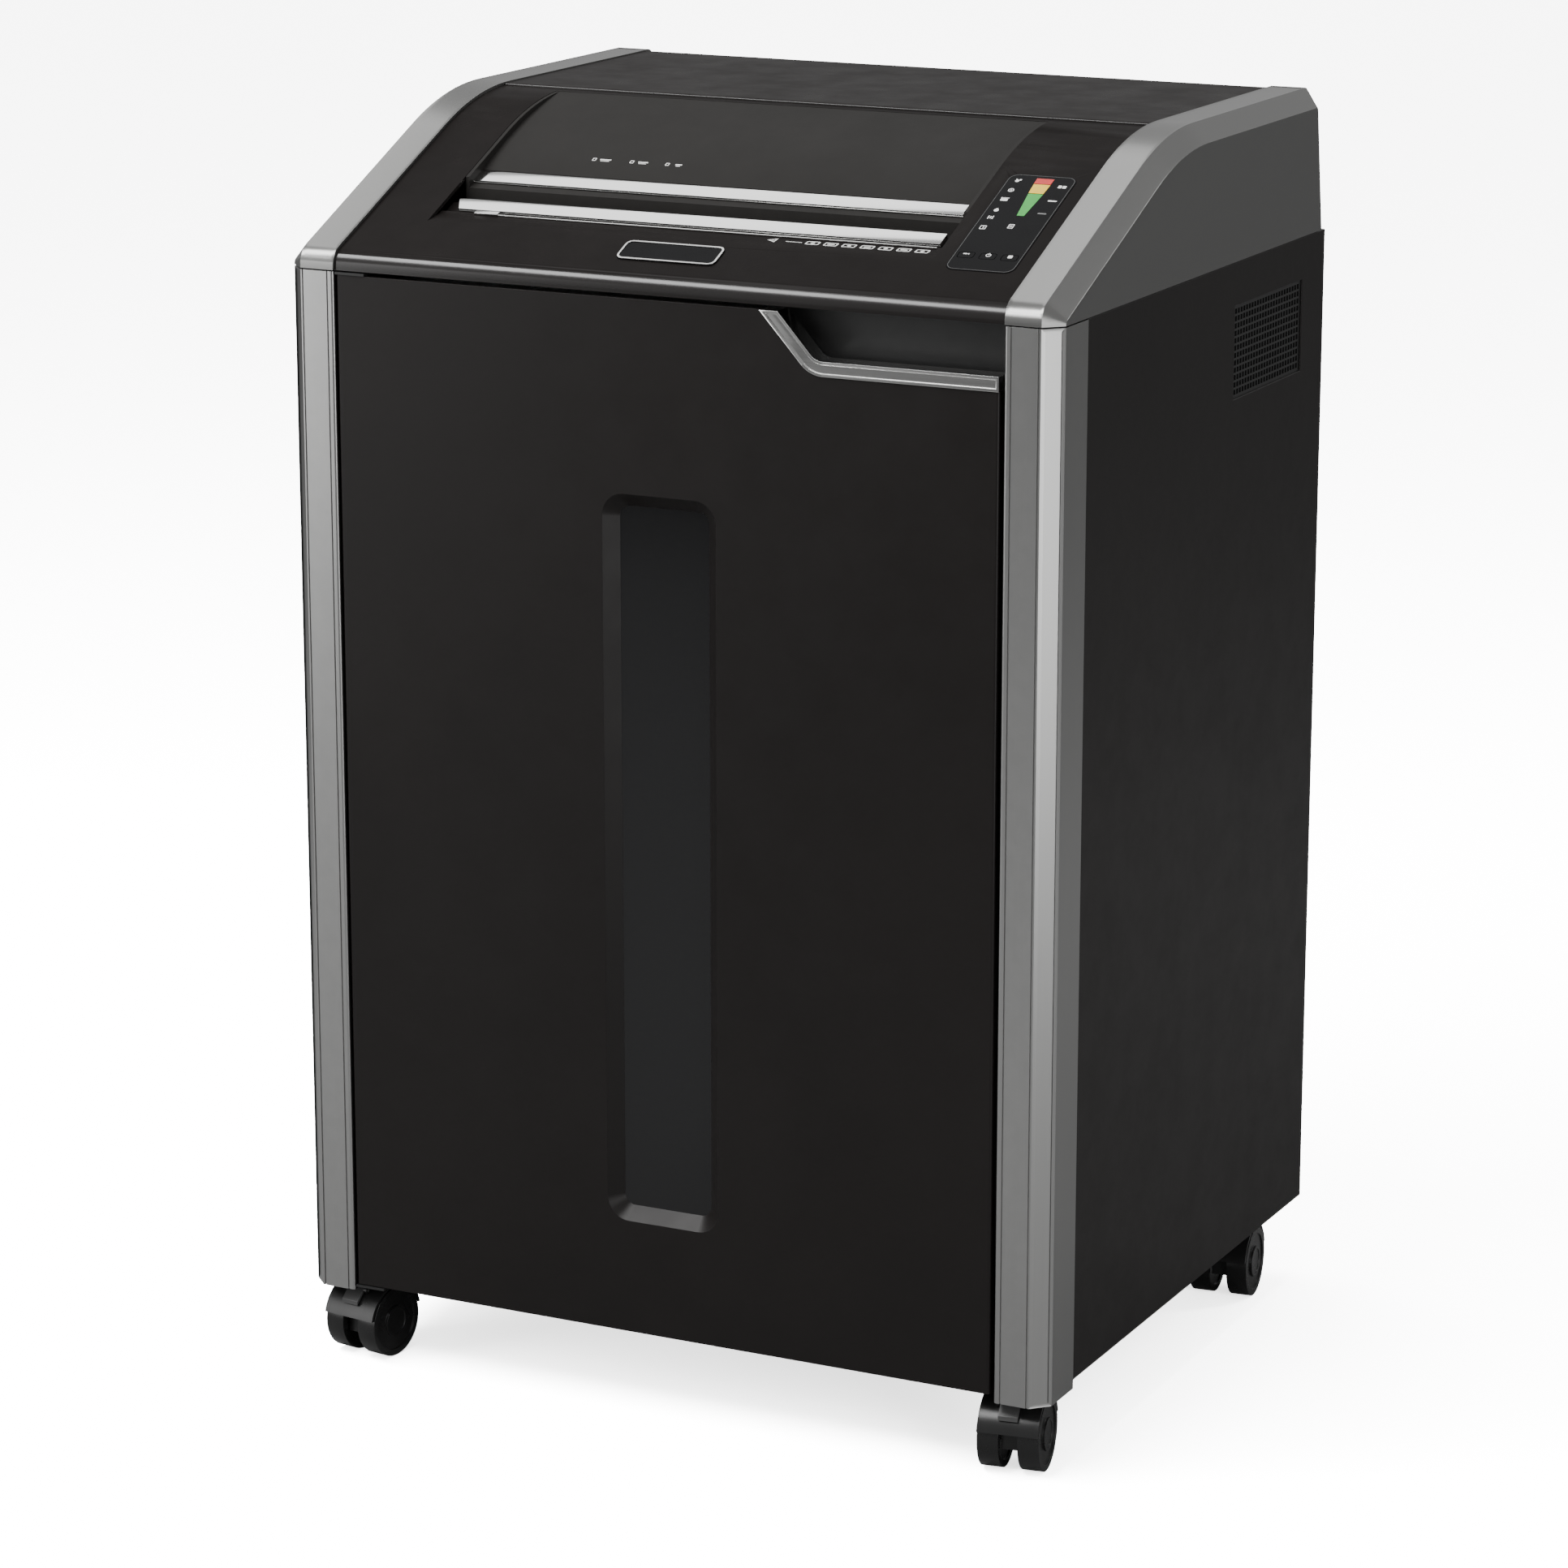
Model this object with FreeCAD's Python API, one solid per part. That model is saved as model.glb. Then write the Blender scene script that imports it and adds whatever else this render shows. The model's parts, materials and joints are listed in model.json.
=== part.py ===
"""Office paper shredder on casters: board cabinet, silver corner columns, hinged door and sloped head.

Millimetres. X to the right, Y to the back, Z up. The origin is on the floor, under the middle of the
footprint. Heights above the floor are worked out from the caster height and the cabinet height.
"""
import FreeCAD, Part
import math
import os

V = FreeCAD.Vector

# ---- overall sizes -------------------------------------------------------------------------------
width = 670.0
depth = 562.8
caster_height = 70.0
cabinet_height = 850.0
head_height = 119.0

# ---- clearances ----------------------------------------------------------------------------------
panel_gap = 0.3
shaft_clearance = 0.05
running_gap = 0.8
split_gap = 1.0

# ---- cabinet -------------------------------------------------------------------------------------
board = 16.0
base_thickness = 18.0
column_face = 30.0
column_chamfer = 14.0
column_side = 43.0
column_wall = 2.5
column_drop = 5.0
column_groove = 1.2
side_panel_gap = 2.0
rear_inset = 2.0
deck_sheet = 2.0
deck_drop = 110.0
guard_sheet = 2.0
guard_gap = 15.4
vent_length = 150.0
vent_height = 76.0
vent_rear_margin = 51.4
vent_top_margin = 36.0
vent_hole = 4.2
vent_pitch = 6.0
vent_sheet = 2.0
vent_recess = 1.5

# ---- door ----------------------------------------------------------------------------------------
door_thickness = 18.0
door_inset = 2.0
door_top_gap = 3.0
door_hinge_gap = 1.5
door_lock_gap = 4.4
pivot_from_edge = 4.0
pivot_radius = 2.0
pivot_depth = 12.0
bracket_sheet = 2.0
handle_width = 201.0
handle_drop = 48.0
handle_slant = 48.0
handle_corner = 26.0
trim_width = 12.0
trim_proud = 1.6
pocket_depth = 14.0
pocket_wall = 2.0
window_width = 100.0
window_height = 598.0
window_bottom = 95.0
window_offset = -2.0
window_corner = 19.0
window_bevel = 11.0
window_depth = 10.0
pane_thickness = 3.0
pane_margin = 5.0

# ---- waste bin -----------------------------------------------------------------------------------
bin_side_margin = 24.0
bin_height = 606.0
bin_rear_margin = 46.8
bin_wall = 2.5
runner_height = 4.0
runner_width = 24.0

# ---- head ----------------------------------------------------------------------------------------
slope_angle = 24.0
slope_start = 14.35
nose_radius = 18.0
brow_radius = 270.0
rear_corner_radius = 8.0
rear_lean = 17.0
cheek_wall = 3.0
chamfer_drop = 15.0
cover_step = 2.5
cover_wall = 3.0
lid_step = 1.0
seam = 0.6
ridge_setback = 280.4
lid_rear_margin = 27.4

# ---- paper entry ---------------------------------------------------------------------------------
throat_width = 406.0
throat_shift = -14.5
entry_margin = 18.5
entry_rear_setback = 270.4
slot_rear_setback = 117.4
slot_front_setback = 98.4
entry_front_setback = 75.4
ramp_dip = 8.0
lip_dip = 5.0
lip_fade = 20.0
entry_wall = 3.0
slot_lip = 22.0
bar_width = 15.5
bar_height = 5.0
bar_fillet = 2.2
bar_end_gap = 4.0
guide_sheet = 1.5

# ---- control panel and badge ---------------------------------------------------------------------
panel_margin = 14.0
panel_width = 57.0
panel_setback = 44.4
panel_length = 138.0
panel_corner = 8.0
panel_sheet = 1.2
panel_proud = 0.4
key_size = (13.0, 8.0)
key_pitch = 18.0
key_row = 20.8
key_proud = 0.45
key_travel = 0.8
key_stem = 6.5
board_depth = 8.0
board_sheet = 1.6
badge_size = (86.0, 26.0)
badge_x = -8.5
badge_setback = 25.4
badge_sheet = 1.6

# ---- cutter block --------------------------------------------------------------------------------
disc_overlap = 4.0
disc_width = 5.8
disc_pitch = 12.0
root_gap = 0.5
shaft_distance = 56.0
journal_radius = 10.0
cutter_drop = 35.0
plate_sheet = 8.0
bush_radius = 14.0
bush_flange = 17.0
bush_flange_thickness = 2.0
tie_radius = 6.0
comb_clearance = 0.8
comb_height = 16.0
comb_depth = 12.0

# ---- gear train and motor ------------------------------------------------------------------------
pressure_angle = 20.0
backlash = 0.25
addendum_share = 0.85
dedendum_share = 1.25
gear_gap = 2.0
timing_teeth = 28
timing_face = 14.0
drive_module = 2.0
drive_teeth = 60
drive_pinion_teeth = 16
motor_module = 1.5
motor_gear_teeth = 70
motor_pinion_teeth = 14
motor_face = 12.0
drive_direction = 25.0
motor_direction = -35.0
axle_radius = 8.0
motor_shaft_radius = 8.0
motor_radius = 58.0
motor_length = 186.0
motor_foot_width = 76.0

# ---- power inlet ---------------------------------------------------------------------------------
inlet_x = -200.0
inlet_height = 785.0
inlet_size = (62.0, 32.0)
inlet_flange = 1.8
inlet_body = (54.0, 26.0)
inlet_length = 30.0
socket_size = (24.5, 17.0)
socket_depth = 17.0
rocker_size = (13.0, 17.0)
rocker_pin = 1.5
rocker_swing = 10.0

# ---- casters -------------------------------------------------------------------------------------
caster_inset_x = 42.0
caster_inset_y = 55.9
wheel_radius = 30.0
wheel_width = 18.0
wheel_fillet = 3.0
wheel_trail = 20.0
web_width = 14.0
hood_radius = 33.5
hood_width = 50.0
neck_radius = 13.0
hood_top_gap = 5.0
stem_radius = 5.5
stem_flange = 15.0
stem_flange_thickness = 4.0
wheel_axle_radius = 4.0
caster_turns = {"front_left": -8.0, "front_right": 9.0, "rear_left": 5.0, "rear_right": 6.0}

# ---- worked out from the above -------------------------------------------------------------------
half_w = width / 2
half_d = depth / 2
cabinet_bottom = caster_height
split = cabinet_bottom + cabinet_height
top = split + head_height
slope = math.radians(slope_angle)
column_inner = half_w - column_face - column_chamfer
inner_x = half_w - board - side_panel_gap + 1.0
front_y = -half_d
column_back_y = front_y + column_chamfer + column_side
door_front = front_y + door_inset
door_back = door_front + door_thickness
column_leg_y = door_back - 1.0
door_bottom = cabinet_bottom + panel_gap
door_top = split - door_top_gap
door_left = -column_inner + door_hinge_gap
door_right = column_inner - door_lock_gap
pivot = (door_left + pivot_from_edge, door_front + pivot_from_edge)
deck_top = split - deck_drop
guard_y = door_back + guard_gap
cutter_z = split - cutter_drop
ridge_y = front_y + ridge_setback
lid_end_y = half_d - lid_rear_margin
entry_rear_y = front_y + entry_rear_setback
slot_rear_y = front_y + slot_rear_setback
slot_front_y = front_y + slot_front_setback
entry_front_y = front_y + entry_front_setback
panel_x = column_inner - panel_margin - panel_width
panel_front_y = front_y + panel_setback
badge_front_y = front_y + badge_setback
caster_x = half_w - caster_inset_x
caster_y = half_d - caster_inset_y
slot_mid = (slot_rear_y + slot_front_y) / 2
front_shaft = (slot_mid - shaft_distance / 2, cutter_z)
rear_shaft = (slot_mid + shaft_distance / 2, cutter_z)
disc_radius = (shaft_distance + disc_overlap) / 2
root_radius = shaft_distance - disc_radius - root_gap
disc_count = int(throat_width // disc_pitch) + 2
stack_half = disc_pitch * disc_count / 2
plate_inner = stack_half + 3.0
entry_left = throat_shift - throat_width / 2 - entry_margin
entry_right = throat_shift + throat_width / 2 + entry_margin
cover_half = column_inner - panel_gap

PARTS = {}


def box(x0, x1, y0, y1, z0, z1):
    return Part.makeBox(x1 - x0, y1 - y0, z1 - z0, V(x0, y0, z0))


def cyl_x(radius, x0, x1, y, z):
    return Part.makeCylinder(radius, x1 - x0, V(x0, y, z), V(1, 0, 0))


def cyl_z(radius, z0, z1, x, y):
    return Part.makeCylinder(radius, z1 - z0, V(x, y, z0), V(0, 0, 1))


def rounded_wire(corners, radii, place):
    """A closed wire through 2-D corners, each rounded by its radius (0 leaves it sharp)."""
    count = len(corners)
    starts, ends, mids = [], [], []
    for i in range(count):
        here = V(*corners[i], 0)
        to_prev = (V(*corners[i - 1], 0) - here).normalize()
        to_next = (V(*corners[(i + 1) % count], 0) - here).normalize()
        half = to_prev.getAngle(to_next) / 2
        if radii[i] <= 0:
            starts.append(here)
            ends.append(here)
            mids.append(None)
            continue
        run = radii[i] / math.tan(half)
        centre = here + (to_prev + to_next).normalize() * (radii[i] / math.sin(half))
        starts.append(here + to_prev * run)
        ends.append(here + to_next * run)
        mids.append(centre + (here - centre).normalize() * radii[i])
    edges = []
    for i in range(count):
        if mids[i] is not None:
            arc = Part.Arc(place(starts[i]), place(mids[i]), place(ends[i]))
            edges.append(arc.toShape())
        following = starts[(i + 1) % count]
        if (following - ends[i]).Length > 1e-6:
            edges.append(Part.makeLine(place(ends[i]), place(following)))
    return Part.Wire(edges)


def prism_x(corners, x0, x1, radii=None):
    """A YZ outline, drawn as (y, z) corners, pushed along X."""
    wire = rounded_wire(corners, radii or [0] * len(corners), lambda p: V(x0, p.x, p.y))
    return Part.Face(wire).extrude(V(x1 - x0, 0, 0))


def prism_y(corners, y0, y1, radii=None):
    """An XZ outline, drawn as (x, z) corners, pushed along Y."""
    wire = rounded_wire(corners, radii or [0] * len(corners), lambda p: V(p.x, y0, p.y))
    return Part.Face(wire).extrude(V(0, y1 - y0, 0))


def prism_z(corners, z0, z1, radii=None):
    """An XY outline pushed along Z."""
    wire = rounded_wire(corners, radii or [0] * len(corners), lambda p: V(p.x, p.y, z0))
    return Part.Face(wire).extrude(V(0, 0, z1 - z0))


def rectangle(a0, a1, b0, b1):
    return [(a0, b0), (a1, b0), (a1, b1), (a0, b1)]


def mirrored(shape):
    return shape.mirror(V(0, 0, 0), V(1, 0, 0))


def fuse(shapes):
    return shapes[0].multiFuse(shapes[1:]).removeSplitter()


def keep(name, *solids):
    """Write down a named piece: one solid, or a group of identical ones."""
    PARTS[name] = solids[0] if len(solids) == 1 else Part.makeCompound(list(solids))


# ---- head outline --------------------------------------------------------------------------------
def slope_line(inset):
    """A point on the sloped face, moved inwards by inset."""
    return (front_y + inset * math.sin(slope), split + slope_start - inset * math.cos(slope))


def head_corners(front, face, crown, rear, bottom):
    """Corners of the head's side outline with each of its four faces moved inwards."""
    fy, fz = slope_line(face)
    lean = math.atan2(rear_lean, head_height)
    tangent = math.tan(slope)
    nose_y = front_y + front
    crown_z = top - crown
    rear_at = half_d - rear / math.cos(lean)
    return [
        (nose_y, bottom),
        (nose_y, fz + (nose_y - fy) * tangent),
        (fy + (crown_z - fz) / tangent, crown_z),
        (rear_at - (crown_z - split) * math.tan(lean), crown_z),
        (rear_at - (bottom - split) * math.tan(lean), bottom),
    ]


def head_radii(inset):
    return [0, max(nose_radius - inset, 2.0), brow_radius - inset, max(rear_corner_radius - inset, 1.5), 0]


def head_solid(inset, x0, x1, bottom=split):
    return prism_x(head_corners(inset, inset, inset, inset, bottom), x0, x1, head_radii(inset))


def surface_z(y, inset):
    """Height of the head's surface at y, inset below the cheeks' bands."""
    run = brow_radius * math.tan(slope / 2)
    fy, fz = slope_line(0)
    brow_y = fy + (top - fz) / math.tan(slope) + run
    radius = brow_radius - inset
    if y >= brow_y:
        return top - inset
    if y > brow_y - radius * math.sin(slope):
        return top - brow_radius + math.sqrt(radius ** 2 - (brow_y - y) ** 2)
    sy, sz = slope_line(inset)
    return sz + (y - sy) * math.tan(slope)


def cover_z(y, below=0.0):
    return surface_z(y, cover_step) - below


def on_slope(shape, y, below=0.0):
    """Move a shape drawn flat (Y up the slope, Z out of it) onto the front cover at y."""
    moved = shape.copy()
    moved.rotate(V(0, 0, 0), V(1, 0, 0), slope_angle)
    moved.translate(V(0, y, cover_z(y)) + V(0, math.sin(slope), -math.cos(slope)) * below)
    return moved


# ---- cabinet -------------------------------------------------------------------------------------
def make_column():
    """The right corner column: a hollow L with a chamfered outer corner and a fine groove by its lip."""
    outline = [
        (column_inner, front_y),
        (column_inner + column_face, front_y),
        (half_w, front_y + column_chamfer),
        (half_w, column_back_y),
        (inner_x + 1.0, column_back_y),
        (inner_x + 1.0, column_leg_y),
        (column_inner, column_leg_y),
    ]
    radii = [2.2, 1.0, 1.0, 0.8, 0, 0, 0]
    bottom = cabinet_bottom - column_drop
    wire = rounded_wire(outline, radii, lambda p: V(p.x, p.y, bottom))
    face = Part.Face(wire)
    hollow = face.makeOffset2D(-column_wall)
    length = split - split_gap / 2 - bottom
    column = face.extrude(V(0, 0, length)).cut(hollow.extrude(V(0, 0, length)))
    grooves = [
        box(x, x + column_groove, front_y - 1, front_y + column_groove, bottom - 1, split + 1)
        for x in (column_inner + 5.0, column_inner + column_face - 2.5)
    ]
    return column.cut(Part.makeCompound(grooves))


def make_cabinet():
    right = make_column()
    keep("column_right", right)
    keep("column_left", mirrored(right))

    vent_y1 = half_d - vent_rear_margin
    vent_z1 = split - vent_top_margin
    vent = (vent_y1 - vent_length, vent_y1, vent_z1 - vent_height, vent_z1)
    panel_y0 = column_back_y + side_panel_gap
    panel = box(inner_x, half_w - side_panel_gap, panel_y0, half_d, cabinet_bottom, split - split_gap / 2)
    panel = panel.cut(box(inner_x - 1, half_w, *vent))
    edge = panel.Edges
    long_edges = [e for e in edge if abs(e.BoundBox.ZLength - (split - split_gap / 2 - cabinet_bottom)) < 0.1
                  and e.BoundBox.XMin > half_w - side_panel_gap - 0.1]
    panel = panel.makeFillet(1.2, long_edges)
    keep("side_panel_right", panel)
    keep("side_panel_left", mirrored(panel))

    grille_x = half_w - side_panel_gap - vent_recess
    grille = box(grille_x - vent_sheet, grille_x, *vent)
    columns = int((vent_length - 4.0) / vent_pitch)
    rows = int((vent_height - 4.0) / vent_pitch)
    start_y = vent[0] + (vent_length - (columns - 1) * vent_pitch - vent_hole) / 2
    start_z = vent[2] + (vent_height - (rows - 1) * vent_pitch - vent_hole) / 2
    holes = []
    for i in range(columns):
        for j in range(rows):
            y = start_y + i * vent_pitch
            z = start_z + j * vent_pitch
            holes.append(box(grille_x - vent_sheet, grille_x, y, y + vent_hole, z, z + vent_hole))
    grille = grille.cut(Part.makeCompound(holes))
    keep("vent_grilles", grille, mirrored(grille))

    rear_y = half_d - rear_inset
    base = box(-inner_x, inner_x, column_leg_y + 2.0, rear_y - board, cabinet_bottom, cabinet_bottom + base_thickness)
    for x in (-caster_x, caster_x):
        for y in (-caster_y, caster_y):
            base = base.cut(cyl_z(stem_radius, cabinet_bottom, cabinet_bottom + base_thickness, x, y))
    keep("base_board", base)

    rear = box(-inner_x, inner_x, rear_y - board, rear_y, cabinet_bottom, split - split_gap / 2)
    ix, iz = inlet_body
    inlet_z = cabinet_bottom + inlet_height
    rear = rear.cut(box(inlet_x - ix / 2, inlet_x + ix / 2, rear_y - board, rear_y,
                        inlet_z - iz / 2, inlet_z + iz / 2))
    screws = []
    for x in (-inner_x + 24, inner_x - 24):
        for share in (0.06, 0.35, 0.65, 0.94):
            z = cabinet_bottom + cabinet_height * share
            hole = Part.makeCylinder(2.0, board, V(x, rear_y - board, z), V(0, 1, 0))
            rear = rear.cut(hole)
            head = Part.makeCylinder(4.2, 1.5, V(x, rear_y, z), V(0, 1, 0))
            screws.append(fuse([hole, head]))
    keep("rear_panel", rear)
    keep("rear_screws", *screws)

    deck = box(-inner_x, inner_x, guard_y + guard_sheet, rear_y - board, deck_top - deck_sheet, deck_top)
    chute = box(throat_shift - stack_half, throat_shift + stack_half,
                front_shaft[0] - disc_radius + 6, rear_shaft[0] + disc_radius - 6, deck_top - 9, deck_top + 9)
    keep("machine_deck", deck.cut(chute))
    keep("front_guard", box(-inner_x, inner_x, guard_y, guard_y + guard_sheet,
                            deck_top - deck_sheet, split - split_gap / 2))

    pocket_left = door_right - handle_width + 4.0
    pocket_bottom = split - door_top_gap - handle_drop - 6.0
    tray = box(pocket_left, door_right + 2, guard_y - pocket_depth, guard_y, pocket_bottom, split - split_gap)
    inside = box(pocket_left + pocket_wall, door_right + 2 - pocket_wall, guard_y - pocket_depth,
                 guard_y - pocket_wall, pocket_bottom + pocket_wall, split - split_gap - pocket_wall)
    keep("handle_recess", tray.cut(inside))

    switch_x = door_right - 34.0
    switch = box(switch_x, switch_x + 26, guard_y - pocket_depth + 4, guard_y, pocket_bottom - 34, pocket_bottom - 8)
    lever = box(switch_x + 10, switch_x + 16, guard_y - pocket_depth + 0.6, guard_y - pocket_depth + 5,
                pocket_bottom - 28, pocket_bottom - 14)
    keep("interlock_switch", fuse([switch, lever]))


def make_bin():
    half = column_inner - bin_side_margin + 3.0
    bottom = cabinet_bottom + base_thickness + runner_height
    y0 = door_back + 6.0
    y1 = half_d - bin_rear_margin
    tub = box(-half, half, y0, y1, bottom, bottom + bin_height)
    inside = box(-half + bin_wall, half - bin_wall, y0 + bin_wall, y1 - bin_wall,
                 bottom + bin_wall, bottom + bin_height)
    rim = box(-half - 4, half + 4, y0 - 4, y1 + 4, bottom + bin_height - 10, bottom + bin_height)
    keep("waste_bin", tub.fuse(rim).cut(inside).removeSplitter())
    runners = []
    for x in (-half + 20, half - 20 - runner_width):
        runners.append(box(x, x + runner_width, y0, y1, bottom - runner_height, bottom))
    keep("bin_runners", *runners)


# ---- door ----------------------------------------------------------------------------------------
def handle_cut(rise):
    """Corners and radii of the hand-hold's lower edge, lifted square to itself by rise."""
    angle = math.radians(handle_slant)
    floor_z = door_top - handle_drop + rise
    low_x = door_right - handle_width + handle_drop / math.tan(angle) + rise * math.tan(angle / 2)
    above = door_top + 40.0
    high_x = low_x - (above - floor_z) / math.tan(angle)
    corners = [(high_x, above), (low_x, floor_z), (door_right + 5, floor_z), (door_right + 5, above)]
    return corners, [0, handle_corner - rise, 0, 0]


def make_door():
    slab = box(door_left, door_right, door_front, door_back, door_bottom, door_top)
    edges = [e for e in slab.Edges if e.BoundBox.ZLength > 100 and e.BoundBox.YMax < door_front + 0.1]
    slab = slab.makeFillet(2.5, edges)
    corners, radii = handle_cut(0)
    slab = slab.cut(prism_y(corners, door_front - 5, door_back + 5, radii))

    cx = window_offset
    z0 = cabinet_bottom + window_bottom
    outer = rectangle(cx - window_width / 2, cx + window_width / 2, z0, z0 + window_height)
    b = window_bevel
    inner = rectangle(cx - window_width / 2 + b, cx + window_width / 2 - b, z0 + b, z0 + window_height - b)
    floor_y = door_front + window_depth
    wires = [
        rounded_wire(outer, [window_corner] * 4, lambda p: V(p.x, door_front, p.y)),
        rounded_wire(inner, [window_corner - b + 1] * 4, lambda p: V(p.x, floor_y, p.y)),
    ]
    slab = slab.cut(Part.makeLoft(wires, True, True))
    slab = slab.cut(prism_y(inner, door_front, door_back, [window_corner - b + 1] * 4))
    m = pane_margin
    rabbet = rectangle(inner[0][0] - m, inner[1][0] + m, inner[0][1] - m, inner[2][1] + m)
    slab = slab.cut(prism_y(rabbet, floor_y, door_back + 1, [4] * 4))
    px, py = pivot
    hole = pivot_radius + shaft_clearance
    slab = slab.cut(cyl_z(hole, door_bottom - 1, door_bottom + pivot_depth + 1, px, py))
    slab = slab.cut(cyl_z(hole, door_top - pivot_depth - 1, door_top + 1, px, py))
    keep("door_panel", slab)

    pane = prism_y(rabbet, floor_y, floor_y + pane_thickness, [4] * 4)
    keep("door_window", pane)

    upper_corners, upper_radii = handle_cut(trim_width)
    lower = prism_y(corners, front_y + door_inset - trim_proud, door_back, radii)
    upper = prism_y(upper_corners, front_y, door_back + 5, upper_radii)
    limit = box(door_left, door_right, front_y, door_back, door_bottom, door_top)
    keep("door_trim", lower.cut(upper).common(limit))

    reach = 26.0
    plates = []
    for z, pin_z0, pin_z1, back in (
        (cabinet_bottom - bracket_sheet - panel_gap, cabinet_bottom - 1, door_bottom + pivot_depth, 31.0),
        (door_top + panel_gap, door_top - pivot_depth, door_top + 1, guard_y - front_y),
    ):
        plate = box(door_left - 0.5, door_left + reach, front_y + 1, front_y + back, z, z + bracket_sheet)
        plates.append(fuse([plate, cyl_z(pivot_radius, pin_z0, pin_z1, px, py)]))
    keep("door_pivots", *plates)


# ---- head ----------------------------------------------------------------------------------------
def cheek_block(inset, x0, x1, x2, bottom):
    """A band that follows the head's outline from x0 to x1 and a chamfer from there down to x2."""
    band = head_solid(inset, x0, x1, bottom)
    c, d = column_chamfer + inset, chamfer_drop + inset
    edge_corners = head_corners(c, d, d, c, bottom)
    edge_radii = [0, 4.0, brow_radius - d, 3.0, 0]
    wires = [
        rounded_wire(head_corners(inset, inset, inset, inset, bottom), head_radii(inset),
                     lambda p: V(x1, p.x, p.y)),
        rounded_wire(edge_corners, edge_radii, lambda p: V(x2, p.x, p.y)),
    ]
    return band.fuse(Part.makeLoft(wires, True, True))


def make_cheeks():
    bottom = split + split_gap / 2
    w = cheek_wall
    x1 = column_inner + column_face
    outer = cheek_block(0.0, column_inner, x1, half_w, bottom)
    inner = cheek_block(w, column_inner + w, x1 - 1.0, half_w - w, bottom - 5)
    cheek = outer.cut(inner)
    keep("cheek_right", cheek)
    keep("cheek_left", mirrored(cheek))


def cover_shell(step, y0, y1):
    bottom = split + split_gap / 2
    outer = head_solid(step, -cover_half, cover_half, bottom)
    inner = head_solid(step + cover_wall, -cover_half - 1, cover_half + 1, bottom - 5)
    limit = box(-width, width, y0, y1, bottom - 10, top + 10)
    return outer.cut(inner).common(limit)


def flat_plate(x0, x1, s0, s1, n0, n1, corner):
    """A plate drawn flat, with rounded corners, ready for on_slope."""
    return prism_z(rectangle(x0, x1, s0, s1), n0, n1, [corner] * 4)


def key_centres():
    middle = panel_x + panel_width / 2
    return [middle + (i - 1) * key_pitch for i in range(3)]


def make_front_cover():
    cover = cover_shell(cover_step, front_y - 1, ridge_y - seam / 2)
    cover = cover.cut(box(entry_left, entry_right, entry_front_y, entry_rear_y, split, top + 10))
    y0 = entry_front_y - lip_fade
    y1 = entry_front_y
    y2 = slot_front_y - panel_gap
    dip = prism_x([(y0, cover_z(y0)), (y1 + 0.01, cover_z(y1, lip_dip)), (y1 + 0.01, cover_z(y1, -9)),
                   (y0, cover_z(y0, -9))], entry_left, entry_right)
    cover = cover.cut(dip)
    seat = lip_dip + bar_height - 0.5
    w = entry_wall
    lip = prism_x([
        (y0 - 4, cover_z(y0 - 4, 0.6)), (y0, cover_z(y0, 0.02)), (y1, cover_z(y1, lip_dip)),
        (y1 + 3, cover_z(y1 + 3, lip_dip)), (y1 + 4, cover_z(y1 + 4, seat)), (y2, cover_z(y2, seat)),
        (y2, cover_z(y2, slot_lip + ramp_dip)), (y2 - w, cover_z(y2 - w, slot_lip + ramp_dip)),
        (y2 - w, cover_z(y2 - w, seat + w)), (y1, cover_z(y1, seat + w)), (y0 - 4, cover_z(y0 - 4, w + 2)),
    ], entry_left, entry_right)
    cover = cover.fuse(lip)

    pocket = flat_plate(panel_x - 0.2, panel_x + panel_width + 0.2, -0.2, panel_length + 0.2,
                        panel_proud - panel_sheet, 5, panel_corner + 0.2)
    opening = flat_plate(panel_x + 6, panel_x + panel_width - 6, 8, panel_length - 8, -9, 5, 3)
    reach = key_size[1] / 2 + 1.5
    key_gap = flat_plate(panel_x + 2, panel_x + panel_width - 2, key_row - reach, key_row + reach, -9, 5, 1)
    cover = cover.cut(Part.makeCompound([on_slope(s, panel_front_y) for s in (pocket, opening, key_gap)]))
    posts = []
    for x in (panel_x + 4, panel_x + panel_width - 4):
        for s in (12, panel_length - 12):
            post = Part.makeCylinder(2.5, board_depth - cover_wall + 1.0, V(x, s, -board_depth), V(0, 0, 1))
            posts.append(on_slope(post, panel_front_y))
    cover = cover.multiFuse(posts)
    bx, by = badge_size
    badge_pocket = flat_plate(badge_x - bx / 2 - 0.2, badge_x + bx / 2 + 0.2, -0.2, by + 0.2, -0.8, 5, 6.2)
    cover = cover.cut(on_slope(badge_pocket, badge_front_y))
    keep("front_cover", cover.removeSplitter())

    badge = flat_plate(badge_x - bx / 2, badge_x + bx / 2, 0, by, -0.8, badge_sheet - 0.8, 6)
    keep("badge_plate", on_slope(badge, badge_front_y))


def ramp_outline(below, y_top, y_low):
    """Three points of the ramp's curve: flush at the ridge, sunk by its dip at the upper bar."""
    y_mid = (y_top + y_low) / 2
    return [(y_top, cover_z(y_top, 0.3 + below)), (y_mid, cover_z(y_mid, ramp_dip * 0.62 + below)),
            (y_low, cover_z(y_low, ramp_dip + below))]


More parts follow.
